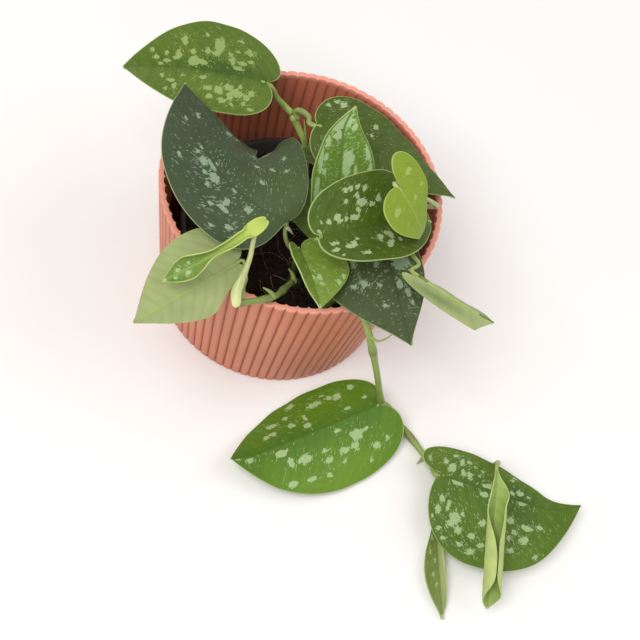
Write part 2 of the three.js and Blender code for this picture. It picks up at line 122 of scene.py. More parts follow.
def store(piece: bpy.types.Object, name: str, values: Array) -> None:
    """Keeps one number per vertex on a piece for its material to read."""
    layer = piece.data.attributes.new(name, "FLOAT", "POINT")
    layer.data.foreach_set("value", np.asarray(values, dtype=np.float32))


def store_map(piece: bpy.types.Object, name: str, across: Array, along: Array) -> None:
    """Keeps a surface map in millimetres on a piece, one pair per vertex."""
    layer = piece.data.uv_layers.new(name=name)
    corners = np.empty(len(piece.data.loops), dtype=np.int64)
    piece.data.loops.foreach_get("vertex_index", corners)
    pairs = np.stack([across, along], axis=1)[corners]
    layer.data.foreach_set("uv", pairs.astype(np.float32).ravel())


def apply_modifier(piece: bpy.types.Object, kind: str, **settings: Any) -> None:
    """Adds a modifier with its settings to a piece and applies it."""
    select(piece)
    modifier = piece.modifiers.new(kind.lower(), kind)
    for key, value in settings.items():
        setattr(modifier, key, value)
    bpy.ops.object.modifier_apply(modifier=modifier.name)


def weld(piece: bpy.types.Object) -> None:
    """Merges a piece's doubled vertices and turns its faces outwards."""
    select(piece)
    bpy.ops.object.mode_set(mode="EDIT")
    bpy.ops.mesh.select_all(action="SELECT")
    bpy.ops.mesh.remove_doubles(threshold=0.001 * MM)
    bpy.ops.mesh.normals_make_consistent(inside=False)
    bpy.ops.object.mode_set(mode="OBJECT")


def smooth(piece: bpy.types.Object, degrees: float) -> None:
    """Shades a piece smooth up to an angle."""
    select(piece)
    bpy.ops.object.shade_smooth_by_angle(angle=math.radians(degrees))


def join(first: bpy.types.Object, others: list[bpy.types.Object]) -> bpy.types.Object:
    """Joins other pieces into the first one."""
    select(first)
    for other in others:
        other.select_set(True)
    bpy.ops.object.join()
    return first


def grid(name: str, rows: int, columns: int) -> tuple[bpy.types.Object, Array, Array]:
    """Adds a flat square grid as the start of a piece.

    Returns:
        The piece, and each vertex's place from -1 to 1 along its rows and its columns.
    """
    deselect()
    bpy.ops.mesh.primitive_grid_add(x_subdivisions=rows, y_subdivisions=columns, size=2)
    piece = bpy.context.object
    piece.name = piece.data.name = name
    at = vertices_of(piece)
    return piece, at[:, 0], at[:, 1]


def hand_over(piece: bpy.types.Object, slot: Slot, node: str | None = None) -> None:
    """Rides a finished piece on the body, hides the imported part that it stands for and logs its
    size.
    """
    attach(piece, BODY)
    if node:
        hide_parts(node)
    mesh = piece.data
    LOG.info("%s: %d vertices, %d faces", piece.name, len(mesh.vertices), len(mesh.polygons))


# ------------------------------------------------------------------------- paths


@dataclass(frozen=True)
class Path:
    """A smooth curve through points in millimetres."""

    points: tuple[Vec, ...]

    FINE = 33  # places on each stretch between two points
    MEASURED = 200  # stretches that its length is summed over

    def sample(self, count: int) -> Array:
        """Evenly spaced places from one end to the other.

        Args:
            count: the number of stretches between them.

        Returns:
            count + 1 rows of x, y, z.
        """
        knots = np.array(self.points, dtype=float)
        knots = np.vstack([2 * knots[0] - knots[1], knots, 2 * knots[-1] - knots[-2]])
        share = np.linspace(0, 1, self.FINE)[:, None]
        runs = []
        for p0, p1, p2, p3 in zip(knots, knots[1:], knots[2:], knots[3:]):
            legs = ((p0, p1), (p1, p2), (p2, p3))
            d0, d1, d2 = (max(np.linalg.norm(b - a) ** 0.5, 1e-4) for a, b in legs)
            start = ((p1 - p0) / d0 - (p2 - p0) / (d0 + d1) + (p2 - p1) / d1) * d1
            end = ((p2 - p1) / d1 - (p3 - p1) / (d1 + d2) + (p3 - p2) / d2) * d1
            square = -3 * p1 + 3 * p2 - 2 * start - end
            cube = 2 * p1 - 2 * p2 + start + end
            runs.append(p1 + start * share + square * share**2 + cube * share**3)
        fine = np.vstack([runs[0], *(run[1:] for run in runs[1:])])
        length = np.concatenate([[0], np.cumsum(np.linalg.norm(np.diff(fine, axis=0), axis=1))])
        even = np.linspace(0, length[-1], count + 1)
        return np.stack([np.interp(even, length, fine[:, k]) for k in range(3)], axis=1)

    def length(self) -> float:
        """The curve's length in millimetres."""
        steps = np.diff(self.sample(self.MEASURED), axis=0)
        return float(np.linalg.norm(steps, axis=1).sum())


def carried_frames(places: Array, up: Array) -> tuple[Array, Array, Array]:
    """Directions along a row of places that turn as little as they can.

    Args:
        places: the row.
        up: the direction that the first side direction keeps to at the far end.

    Returns:
        Tangents, and the two directions across them.
    """
    tangents = np.gradient(places, axis=0)
    tangents /= np.linalg.norm(tangents, axis=1)[:, None]
    side = up - np.dot(up, tangents[-1]) * tangents[-1]
    sides = [side / np.linalg.norm(side)]
    for tangent in tangents[-2::-1]:
        side = sides[-1] - np.dot(sides[-1], tangent) * tangent
        sides.append(side / np.linalg.norm(side))
    first = np.array(sides[::-1])
    return tangents, first, np.cross(tangents, first)


@dataclass(frozen=True)
class Tube:
    """A closed round tube along a path, with rounded ends.

    radius gives the size in millimetres for a share of the length and an angle round the
    tube that starts on its upper side.
    """

    path: Path
    radius: Callable[[Array, Array], Array]
    sides: int = 12
    steps: int = 24
    up: Vec = (0.0, 0.0, 1.0)

    CAP = (0.0, 0.45, 0.8, 1.0)  # how open the rings at an end are, from its tip
    BULGE = 0.7  # how far an end stands out, as a share of its radius

    def build(self, name: str) -> bpy.types.Object:
        """Makes the tube from a grid wrapped round the path and closed at both ends."""
        closing = len(self.CAP) - 1
        rings = self.steps + 2 * closing
        piece, row, column = grid(name, rings, self.sides)
        ring = np.rint((row + 1) / 2 * rings).astype(int)
        step = np.clip(ring - closing, 0, self.steps)
        near_end = np.minimum(ring, rings - ring)
        open_share = np.array(self.CAP)[np.minimum(near_end, closing)]
        angle = math.pi * column
        places = self.path.sample(self.steps)
        tangents, first, second = carried_frames(places, np.array(self.up))
        share = step / self.steps
        size = self.radius(share, angle)
        outwards = np.where(ring < rings / 2, -self.BULGE, self.BULGE)
        beyond = np.sqrt(1 - open_share**2) * size * outwards
        at = places[step] + tangents[step] * beyond[:, None]
        at += first[step] * (size * open_share * np.cos(angle))[:, None]
        at += second[step] * (size * open_share * np.sin(angle))[:, None]
        move_vertices(piece, at)
        store(piece, "along", share)
        store_map(piece, "wrap", angle * 2, share * self.path.length())
        weld(piece)
        smooth(piece, 70)
        return piece


# ----------------------------------------------------------------------- shaders


class Wiring:
    """Adds nodes to one shader tree and joins them."""

    def __init__(self, tree: bpy.types.NodeTree) -> None:
        """Starts on an empty tree."""
        self.tree = tree
        tree.nodes.clear()

    def node(
        self, kind: str, values: dict[Any, Any] | None = None, **settings: Any
    ) -> bpy.types.Node:
        """Adds a node.

        Args:
            kind: the node's type name.
            values: what goes into its sockets, a number or another node's output.
            settings: the node's own properties.

        Returns:
            The node.
        """
        node = self.tree.nodes.new(kind)
        for key, value in settings.items():
            setattr(node, key, value)
        for key, value in (values or {}).items():
            self.feed(node.inputs[key], value)
        return node

    def feed(self, socket: bpy.types.NodeSocket, value: Any) -> None:
        """Links an output to a socket, or sets the socket's own value."""
        if isinstance(value, bpy.types.NodeSocket):
            self.tree.links.new(value, socket)
        else:
            socket.default_value = value

    def math(self, operation: str, *values: Any, clamp: bool = False) -> bpy.types.NodeSocket:
        """The result of a sum on numbers."""
        sockets = dict(enumerate(values))
        node = self.node("ShaderNodeMath", sockets, operation=operation, use_clamp=clamp)
        return node.outputs[0]

    def vector(self, operation: str, *values: Any) -> bpy.types.NodeSocket:
        """The result of a sum on vectors."""
        sockets = dict(enumerate(values))
        return self.node("ShaderNodeVectorMath", sockets, operation=operation).outputs[0]

    def scaled(self, vector: Any, times: Any) -> bpy.types.NodeSocket:
        """A vector made longer or shorter."""
        sockets = {0: vector, 3: times}
        return self.node("ShaderNodeVectorMath", sockets, operation="SCALE").outputs[0]

    def mix(self, share: Any, first: Any, second: Any) -> bpy.types.NodeSocket:
        """A colour that goes from the first to the second with the share."""
        values = {0: share, 6: first, 7: second}
        return self.node("ShaderNodeMix", values, data_type="RGBA", clamp_factor=True).outputs[2]

    def tint(self, colour: Any, share: Any, strength: float, other: Any) -> bpy.types.NodeSocket:
        """A colour turned towards another one by a share times a strength."""
        return self.mix(self.math("MULTIPLY", share, strength), colour, other)

    def between(self, share: Any, first: Any, second: Any) -> bpy.types.NodeSocket:
        """A number that goes from the first to the second with the share."""
        values = {0: share, 2: first, 3: second}
        return self.node("ShaderNodeMix", values, data_type="FLOAT").outputs[0]

    def rise(self, value: Any, low: Any, high: Any) -> bpy.types.NodeSocket:
        """Goes smoothly from 0 to 1 as the value goes from low to high."""
        values = {"Value": value, "From Min": low, "From Max": high}
        return self.node("ShaderNodeMapRange", values, interpolation_type="SMOOTHSTEP").outputs[0]

    def fall(self, value: Any, low: Any, high: Any) -> bpy.types.NodeSocket:
        """Goes smoothly from 1 to 0 as the value goes from low to high."""
        return self.math("SUBTRACT", 1.0, self.rise(value, low, high))

    def noise(self, place: Any, scale: Any, detail: float) -> bpy.types.Node:
        """A noise texture."""
        values = {"Vector": place, "Scale": scale, "Detail": detail, "Roughness": 0.5}
        return self.node("ShaderNodeTexNoise", values)

    def group(self, group: bpy.types.NodeTree, values: dict[str, Any]) -> bpy.types.Node:
        """Places a node group."""
        node = self.node("ShaderNodeGroup", node_tree=group)
        for key, value in values.items():
            self.feed(node.inputs[key], value)
        return node

    def kept(self, name: str) -> bpy.types.NodeSocket:
        """The number that a piece keeps under a name."""
        return self.node("ShaderNodeAttribute", attribute_name=name).outputs["Fac"]

    def map(self, name: str) -> bpy.types.NodeSocket:
        """A piece's own surface map."""
        return self.node("ShaderNodeUVMap", uv_map=name).outputs[0]

    def millimetres(self) -> bpy.types.NodeSocket:
        """The place on the object, in millimetres."""
        place = self.node("ShaderNodeTexCoord").outputs["Object"]
        return self.scaled(place, 1 / MM)


def begin_group(
    name: str, takes: dict[str, tuple[str, Any]], gives: tuple[str, ...]
) -> tuple[bpy.types.NodeTree, Wiring, Any, Any]:
    """Starts a node group.

    Args:
        name: the group's name.
        takes: its inputs, each with Float or Vector and a default.
        gives: its outputs, all numbers.

    Returns:
        The group, its wiring, the sockets that bring its inputs and those that take its outputs.
    """
    tree = bpy.data.node_groups.new(name, "ShaderNodeTree")
    wiring = Wiring(tree)
    for key, (kind, default) in takes.items():
        socket = tree.interface.new_socket(key, in_out="INPUT", socket_type=f"NodeSocket{kind}")
        socket.default_value = default
    for key in gives:
        tree.interface.new_socket(key, in_out="OUTPUT", socket_type="NodeSocketFloat")
    taken = wiring.node("NodeGroupInput").outputs
    given = wiring.node("NodeGroupOutput").inputs
    return tree, wiring, taken, given


class Effects:
    """The node groups that several materials share."""

    FIRST = 0.25  # the share that picks the first cell of the marks
    SPREAD = 0.6  # how much more of it picks the last one
    FADE = 0.06  # how much more shows a picked cell in full

    def __init__(self) -> None:
        """Builds every group once."""
        self.marks = self.build_marks()
        self.veins = self.build_veins()
        self.mottle = self.build_mottle()

    def build_marks(self) -> bpy.types.NodeTree:
        """Ragged angular marks: cells of a mosaic, stretched along the veins, that a share picks.

        A share of FIRST or less picks no cell, and one of FIRST + SPREAD + FADE shows every one.
        """
        tree, w, taken, given = begin_group(
            "silver_marks",
            {
                "Place": ("Vector", (0, 0, 0)), "Length": ("Float", 5), "Width": ("Float", 3),
                "Share": ("Float", 0.3), "Gap": ("Float", 0.05), "Ragged": ("Float", 1),
                "Seed": ("Float", 0),
            },
            ("Mask",),
        )
        wobble = w.noise(taken["Place"], 0.55, 3).outputs["Color"]
        wobble = w.vector("SUBTRACT", wobble, (0.5, 0.5, 0.5))
        wobble = w.scaled(wobble, taken["Ragged"])
        place = w.vector("ADD", taken["Place"], wobble)
        size = {0: taken["Width"], 1: taken["Length"], 2: 1.0}
        cell = w.node("ShaderNodeCombineXYZ", size).outputs[0]
        place = w.vector("DIVIDE", place, cell)
        layer = w.node("ShaderNodeCombineXYZ", {2: taken["Seed"]}).outputs[0]
        place = w.vector("ADD", place, layer)
        values = {"Vector": place, "Scale": 1.0}
        pick = w.node("ShaderNodeTexVoronoi", values, feature="F1").outputs["Color"]
        pick = w.node("ShaderNodeSeparateColor", {0: pick}).outputs[0]
        borders = w.node("ShaderNodeTexVoronoi", values, feature="DISTANCE_TO_EDGE")
        edge = borders.outputs["Distance"]
        least = w.math("MULTIPLY_ADD", pick, self.SPREAD, self.FIRST)
        picked = w.rise(w.math("SUBTRACT", taken["Share"], least), 0.0, self.FADE)
        body = w.rise(edge, taken["Gap"], w.math("ADD", taken["Gap"], 0.07))
        w.feed(given["Mask"], w.math("MULTIPLY", picked, body))
        return tree

    def build_veins(self) -> bpy.types.NodeTree:
        """Side veins at an even spacing: fine lines and the broad bands beside them."""
        tree, w, taken, given = begin_group(
            "leaf_veins",
            {"Place": ("Vector", (0, 0, 0)), "Spacing": ("Float", 7)},
            ("Line", "Band"),
        )
        start = w.node("ShaderNodeSeparateXYZ", {0: taken["Place"]}).outputs[0]
        sway = w.noise(taken["Place"], 0.06, 1).outputs["Fac"]
        start = w.math("ADD", start, w.math("MULTIPLY", sway, 5.0))
        turn = w.math("FRACT", w.math("DIVIDE", start, taken["Spacing"]))
        away = w.math("ABSOLUTE", w.math("SUBTRACT", turn, 0.5))
        distance = w.math("MULTIPLY", away, taken["Spacing"])
        w.feed(given["Line"], w.fall(distance, 0.1, 0.5))
        w.feed(given["Band"], w.fall(away, 0.0, 0.42))
        return tree

    def build_mottle(self) -> bpy.types.NodeTree:
        """Uneven tone: soft clouds with a fine grain in them."""
        tree, w, taken, given = begin_group(
            "uneven_tone",
            {"Place": ("Vector", (0, 0, 0)), "Cloud": ("Float", 20), "Grain": ("Float", 0.6)},
            ("Cloud", "Grain"),
        )
        for key, detail in (("Cloud", 3.0), ("Grain", 4.0)):
            scale = w.math("DIVIDE", 1.0, taken[key])
            tone = w.noise(taken["Place"], scale, detail).outputs["Fac"]
            w.feed(given[key], w.rise(tone, 0.25, 0.75))
        return tree


def begin_material(name: str) -> tuple[bpy.types.Material, Wiring]:
    """Starts a material with an empty node tree."""
    material = bpy.data.materials.new(name)
    material.use_nodes = True
    return material, Wiring(material.node_tree)


def end_material(
    w: Wiring, colour: Any, roughness: Any, height: Any, depth: float, **sockets: Any
) -> None:
    """Closes a material with its surface shader.

    Args:
        w: the material's wiring.
        colour: the base colour.
        roughness: the roughness.
        height: the relief, 0 to 1.
        depth: the relief's depth in millimetres.
        sockets: the shader's other sockets, underscores for blanks.
    """
    bump = w.node("ShaderNodeBump", {"Strength": 1.0, "Distance": depth * MM, "Height": height})
    shader = w.node("ShaderNodeBsdfPrincipled", {
        "Base Color": colour, "Roughness": roughness, "Normal": bump.outputs[0],
    })
    for key, value in sockets.items():
        shader.inputs[key.replace("_", " ")].default_value = value
    output = w.node("ShaderNodeOutputMaterial")
    w.feed(output.inputs["Surface"], shader.outputs[0])


# ------------------------------------------------------------------------ leaves


@dataclass(frozen=True)
class LeafFinish:
    """The colours of one leaf and the make-up of its silver marks."""

    green: Colour
    deep: Colour
    silver: Colour
    margin: Colour
    rib: Colour
    under: Colour
    stalk: Colour
    share: float = 0.27  # share of silver where no mark adds to it, see silver_marks
    fleck: float = 0.28  # the same for the small flecks
    scatter: float = 0.06  # how much more of them there is round a mark
    cell: Pair = (2.7, 1.0)  # length along the veins and width of the cells that a mark is made of
    band: float = 0.2  # how strongly the darker bands by the veins show
    strength: float = 0.85  # how much of the green the silver hides
    light: Colour = paint(150, 176, 58)  # the green of its young areas
    margin_width: float = 0.25  # of the pale line round the blade
    roughness: float = 0.5
    gloss: float = 0.28


GREEN = LeafFinish(
    green=paint(90, 112, 33), deep=paint(60, 86, 18), silver=paint(172, 194, 142),
    margin=paint(170, 186, 116), rib=paint(56, 82, 20), under=paint(146, 160, 104),
    stalk=paint(150, 175, 88),
)
DARK = LeafFinish(
    green=paint(55, 72, 42), deep=paint(42, 58, 28), silver=paint(150, 170, 138),
    margin=paint(150, 166, 112), rib=paint(40, 52, 32), under=paint(140, 156, 106),
    stalk=paint(176, 186, 120), share=0.25, fleck=0.3, scatter=0.17, cell=(2.3, 1.2), band=0.12,
    strength=0.82, roughness=0.45, gloss=0.4,
)
LIME = LeafFinish(
    green=paint(129, 153, 38), deep=paint(104, 134, 26), silver=paint(176, 194, 108),
    margin=paint(176, 194, 100), rib=paint(166, 186, 80), under=paint(146, 168, 78),
    stalk=paint(190, 198, 130), share=0.25, fleck=0.3, band=0.06, strength=0.6,
)
PALE = LeafFinish(
    green=paint(84, 116, 40), deep=paint(96, 118, 58), silver=paint(168, 184, 134),
    margin=paint(176, 190, 130), rib=paint(56, 82, 20), under=paint(146, 157, 102),
    stalk=paint(160, 176, 96),
)


@dataclass(frozen=True)
class Patch:
    """A soft-edged area of a blade where something is stronger.

    at and size are shares: of the length from base to tip, and of the half width, left
    of the midrib positive.
    """

    at: Pair
    size: Pair
    amount: float

    def over(self, x: Array, y: Array) -> Array:
        """How much the area adds at each place."""
        return self.amount * hump(x, self.at[0], self.size[0]) * hump(y, self.at[1], self.size[1])

    def grown(self, times: float) -> "Patch":
        """The same area made larger."""
        return replace(self, size=(times * self.size[0], times * self.size[1]))


BELL = 0.85  # the half size of a mark's soft area for one of the mark itself


def marks(*spots: tuple[float, float, float, float]) -> tuple[Patch, ...]:
    """Silver marks, each by its place along and beside the midrib and its half size, as shares."""
    return tuple(Patch((x, y), (BELL * long, BELL * wide), 1.0) for x, y, long, wide in spots)


def strongest(patches: tuple[Patch, ...], x: Array, y: Array) -> Array:
    """The most that any one of the areas adds at each place."""
    return np.max([np.zeros_like(x), *(patch.over(x, y) for patch in patches)], axis=0)


@dataclass(frozen=True)
class Blade:
    """The shape of one blade; a pair is its left and its right half, seen from above."""

    base: Vec
    heading: float
    pitch: float
    roll: float
    length: float
    width: Pair
    lobe: Pair
    widest: Pair
    full: Pair
    fold: float
    curl: Pair
    droop: float
    twist: float = 0.0
    tip: float = 0.0
    sweep: float = 0.0
    hook: float = 0.0
    cup: float = 0.0
    curl_by: float = 0.0
    uncurl: float = 0.0
    dent: Pair = (0.0, 0.0)
    dent_at: float = 0.5
    dent_half: float = 0.08

    NECK = 0.8  # half width at the heel
    POINT = 0.3  # half width at the tip
    LOBE_SHARE = 0.45  # share of the outline that runs back round the lobe
    TIP_FROM = 0.75  # share of the length past which the tip bends away
    UNCURLED = (0.4, 0.75)  # shares of the length over which a rolled blade opens

    def directions(self) -> tuple[Array, Array, Array]:
        """Along, left and up at the blade's base."""
        heading, pitch, roll = (math.radians(a) for a in (self.heading, self.pitch, self.roll))
        along = np.array([
            math.cos(pitch) * math.cos(heading),
            math.cos(pitch) * math.sin(heading),
            math.sin(pitch),
        ])
        level = np.array([-math.sin(heading), math.cos(heading), 0.0])
        left = level * math.cos(roll) + np.cross(along, level) * math.sin(roll)
        return along, left, np.cross(along, left)

    def outline(self, u: Array, half: int) -> tuple[Array, Array]:
        """The half outline from heel to tip: places along the midrib and beside it.

        It is two cubic curves that meet where the half is widest.
        """
        width, widest, length = self.width[half], self.widest[half], self.length
        lobe = self.lobe[half] * length
        broad = (widest * length, width)
        back = (
            (-self.cup * lobe, self.NECK), (-1.1 * lobe, 0.12 * width),
            (-1.15 * lobe, width), broad,
        )
        front = (
            broad, ((widest + 0.4 * (1 - widest)) * length, width),
            (0.84 * length, self.full[half] * width), (length, self.POINT),
        )
        split = self.LOBE_SHARE
        t = np.where(u < split, u / split, (u - split) / (1 - split))
        weights = ((1 - t) ** 3, 3 * (1 - t) ** 2 * t, 3 * (1 - t) * t**2, t**3)
        x, y = (
            np.where(
                u < split,
                sum(w * point[k] for w, point in zip(weights, back)),
                sum(w * point[k] for w, point in zip(weights, front)),
            )
            for k in range(2)
        )
        return x, y * (1 - self.dent[half] * hump(u, self.dent_at, self.dent_half))

    def plan(self, u: Array, v: Array) -> tuple[Array, Array, Array]:
        """The flat blade: place along the midrib, beside it, and the half width there."""
        share = np.abs(v)
        heel = -self.cup * self.lobe[0] * self.length
        edges = [self.outline(u, half) for half in range(2)]
        edge_x, edge_y = (np.where(v >= 0, edges[0][k], edges[1][k]) for k in range(2))
        midrib = heel + u * (self.length - heel)
        return (1 - share) * midrib + share * edge_x, share * edge_y, edge_y

    def surface(self, u: Array, v: Array) -> Array:
        """The blade's middle surface in space, one row per vertex."""
        along, left, up = self.directions()
        x, y, _ = self.plan(u, v)
        sign = np.where(v >= 0, 1.0, -1.0)
        width = np.where(v >= 0, *self.width)
        share = x / self.length
        fold = math.radians(self.fold)
        grown = ease(share, 0, self.curl_by) if self.curl_by > 0 else 1.0
        grown = grown * (1 - self.uncurl * ease(share, *self.UNCURLED))
        last = np.clip((share - self.TIP_FROM) / (1 - self.TIP_FROM), 0, 1) ** 2
        curl = np.radians(np.where(v >= 0, *self.curl)) * grown
        curl = np.where(np.abs(curl) < 1e-5, 1e-5, curl)
        rise = fold + curl * y / width
        out = sign * (width / curl) * (np.sin(rise) - math.sin(fold)) + self.hook * last
        high = (width / curl) * (math.cos(fold) - np.cos(rise)) - self.tip * last
        turn = math.radians(self.twist) * share
        side = out * np.cos(turn) - high * np.sin(turn)
        high = out * np.sin(turn) + high * np.cos(turn)
        swing = math.radians(self.sweep or 1e-3) / self.length
        ahead = np.sin(swing * x) / swing - side * np.sin(swing * x)
        across = (1 - np.cos(swing * x)) / swing + side * np.cos(swing * x)
        sag = math.radians(self.droop or 1e-3) / self.length
        angle = sag * ahead
        return (
            np.array(self.base)
            + along * (np.sin(angle) / sag + high * np.sin(angle))[:, None]
            + left * across[:, None]
            + up * (-(1 - np.cos(angle)) / sag + high * np.cos(angle))[:, None]
        )

    def normals(self, u: Array, v: Array) -> Array:
        """The middle surface's directions upwards, read just inside the margin."""
        step = 1e-3
        u, v = np.clip(u, 0.02, 0.98), np.clip(v, -0.98, 0.98)
        along = self.surface(u + step, v) - self.surface(u - step, v)
        across = self.surface(u, v + step) - self.surface(u, v - step)
        normal = np.cross(along, across)
        return normal / np.linalg.norm(normal, axis=1)[:, None]


@dataclass(frozen=True)
class Petiole:
    """A leaf stalk from its stem to the heel of the blade."""

    points: tuple[Vec, ...]
    radius: float
    flare: float = 0.0
    under: bool = False

    def path(self, blade: Blade) -> Path:
        """The stalk's curve, ending inside the blade's midrib."""
        along, _, up = blade.directions()
        base, radius = np.array(blade.base), self.radius
        back, down = (-0.3, -3.0) if self.under else (-2.0, -1.2)
        entry = base + along * back * radius + up * down * radius
        end = base + along * 1.5 * radius - up * 0.6 * radius
        return Path((*self.points, tuple(entry), tuple(end)))

    def size(self, share: Array, angle: Array) -> Array:
        """The radius: wider at the sheathing foot, and grooved along its upper side."""
        size = self.radius * (1.15 - 0.35 * share) + self.flare * hump(share, 0.13, 0.2)
        groove = 0.16 * np.exp(-((angle / 0.5) ** 2))
        return size * (1 - groove * (1 - ease(share, 0.85, 1.0)))


@dataclass(frozen=True)
class Offshoot:
    """A pointed sheath, aerial root, tendril or root hair."""

    points: tuple[Vec, ...]
    radius: float
    thinning: float = 0.8  # share of its radius that it loses by its tip
    sides: int = 10
    steps: int = 12

    def size(self, share: Array, _angle: Array) -> Array:
        """The radius, thinning out to the tip."""
        return self.radius * (1 - self.thinning * share)

    def build(self, name: str) -> bpy.types.Object:
        """Makes the offshoot as a tube."""
        return Tube(Path(self.points), self.size, sides=self.sides, steps=self.steps).build(name)


@dataclass(frozen=True)
class Leaf:
    """A leaf: blade with its midrib, veins and marks, and its petiole."""

    node: str
    blade: Blade
    petiole: Petiole
    finish: LeafFinish
    slot: Slot
    splashes: tuple[Patch, ...] = ()
    shades: tuple[Patch, ...] = ()
    young: tuple[Patch, ...] = ()
    stipule: Offshoot | None = None
    rows: int = 84
    columns: int = 52
    seed: int = 1

    THICKNESS = 0.7
    MIDRIB = 1.0  # how far the midrib stands out underneath at the heel
    RIB_HALF = 0.8
    STALK_SIDES = 14
    STALK_STEP = 1.5  # between two rings of the stalk
    GROOVE_DEPTH = 0.25  # how far the midrib is sunk in the upper side
    GROOVE_HALF = 2.2
    HALO = 2.6  # how many times its mark's size the flecks round it spread
    VEIN_SPACING = 7.0
    HALVES_APART = 200.0  # in the vein map, so that their marks differ
    QUILT = 0.07  # how far the blade swells between two veins
    WAVE = 0.3  # how far the margin waves up and down
    WAVE_LENGTH = 21.0
    MARK_EDGE = (0.1, 0.9)  # where a mark's soft area begins to count, and counts in full

    def vein_places(self, x: Array, y: Array, width: Array) -> tuple[Array, Array]:
        """Where along the midrib the vein at a place starts, and how far along it the place is."""
        out = y / width
        start = x - width * (0.3 * out + 0.5 * out**2)
        return start, np.hypot(y, x - start)

    def relief(self, x: Array, y: Array, v: Array) -> Array:
        """Height over the smooth blade: sunken midrib, quilting between veins, wavy margin."""
        width = np.where(v >= 0, *self.blade.width)
        start, _ = self.vein_places(x, y, width)
        fade = ease(y, 1.5, 6.0) * (1 - ease(np.abs(v), 0.85, 1.0))
        quilt = self.QUILT * np.cos(2 * math.pi * start / self.VEIN_SPACING) * fade
        shallower = 1 - 0.6 * x / self.blade.length
        groove = -self.GROOVE_DEPTH * hump(y, 0.0, self.GROOVE_HALF) * shallower
        phase = self.seed * 1.7 + np.where(v >= 0, 0.0, 2.1)
        wave = self.WAVE * np.abs(v) ** 4 * np.sin(2 * math.pi * x / self.WAVE_LENGTH + phase)
        return quilt + groove + wave * ease(x / self.blade.length, 0.05, 0.2)

    def build_blade(self, materials: tuple[bpy.types.Material, ...]) -> bpy.types.Object:
        """Lays a grid over the blade, keeps its marks on it and gives it its thickness.

        Args:
            materials: for the upper side, the underside and the stalk.

        Returns:
            The blade.
        """
        piece, row, column = grid(self.node + "_blade", self.rows, self.columns)
        for material in materials:
            piece.data.materials.append(material)
        u = (row + 1) / 2
        v = column * (0.62 + 0.38 * np.abs(column))  # closest at the midrib
        x, y, _ = self.blade.plan(u, v)
        height = self.relief(x, y, v) + self.THICKNESS / 2
        places = self.blade.surface(u, v) + self.blade.normals(u, v) * height[:, None]
        move_vertices(piece, places)
        self.keep_marks(piece, u, v)
        ridge = self.MIDRIB * hump(y, 0.0, self.RIB_HALF) * np.clip(1 - 0.8 * u, 0, 1)
        thickest = self.THICKNESS + self.MIDRIB
        group = piece.vertex_groups.new(name="thickness")
        for index, weight in enumerate((self.THICKNESS + ridge) / thickest):
            group.add([index], float(weight), "REPLACE")
        apply_modifier(
            piece, "SOLIDIFY", thickness=thickest * MM, offset=-1,
            vertex_group="thickness", material_offset=1,
        )
        piece.vertex_groups.clear()
        smooth(piece, 65)
        return piece

    def keep_marks(self, piece: bpy.types.Object, u: Array, v: Array) -> None:
        """Keeps on the blade what its material reads: maps, distances and where its marks are."""
        blade = self.blade
        x, y, half_width = blade.plan(u, v)
        width = np.where(v >= 0, *blade.width)
        sign = np.where(v >= 0, 1.0, -1.0)
        start, run = self.vein_places(x, y, width)
        store_map(piece, "plan", x, y * sign)
        store_map(piece, "vein", start, run + self.HALVES_APART * sign)
        store(piece, "rib", y)
        heel_away = np.where(u < 0.02, 5.0, 0.0)
        store(piece, "margin", (1 - np.abs(v)) * half_width + heel_away * (1 - np.abs(v)))
        share_x, share_y = x / blade.length, sign * y / width
        nearest = strongest(self.splashes, share_x, share_y)
        store(piece, "splash", self.finish.share + ease(nearest, *self.MARK_EDGE))
        halos = tuple(mark.grown(self.HALO) for mark in self.splashes)
        store(piece, "halo", strongest(halos, share_x, share_y))
        none = np.zeros_like(x)
        for name, patches in (("shade", self.shades), ("young", self.young)):
            store(piece, name, sum((p.over(share_x, share_y) for p in patches), none))

    def build(self, effects: Effects, clearances: list[bpy.types.Object]) -> bpy.types.Object:
        """Makes the leaf in one piece.

        Args:
            effects: the shared node groups.
            clearances: the stems a little grown, which the stalk's foot is cut clear of.

        Returns:
            The leaf.
        """
        look = LeafLook(self, effects)
        stalk_material = look.stalk()
        blade = self.build_blade((look.upper(), look.under(), stalk_material))
        _, _, up = self.blade.directions()
        path = self.petiole.path(self.blade)
        steps = max(16, int(path.length() / self.STALK_STEP))
        stalk = Tube(path, self.petiole.size, sides=self.STALK_SIDES, steps=steps, up=tuple(up))
        parts = [stalk.build("stalk")]
        if self.stipule:
            parts.append(self.stipule.build("stipule"))
        for part in parts:
            for clearance in clearances:
                apply_modifier(
                    part, "BOOLEAN", operation="DIFFERENCE", object=clearance, solver="EXACT"
                )
            part.data.materials.clear()
            part.data.materials.append(stalk_material)
        leaf = join(blade, parts)
        leaf.name = leaf.data.name = "fine_" + self.node
        hand_over(leaf, self.slot, self.node)
        return leaf


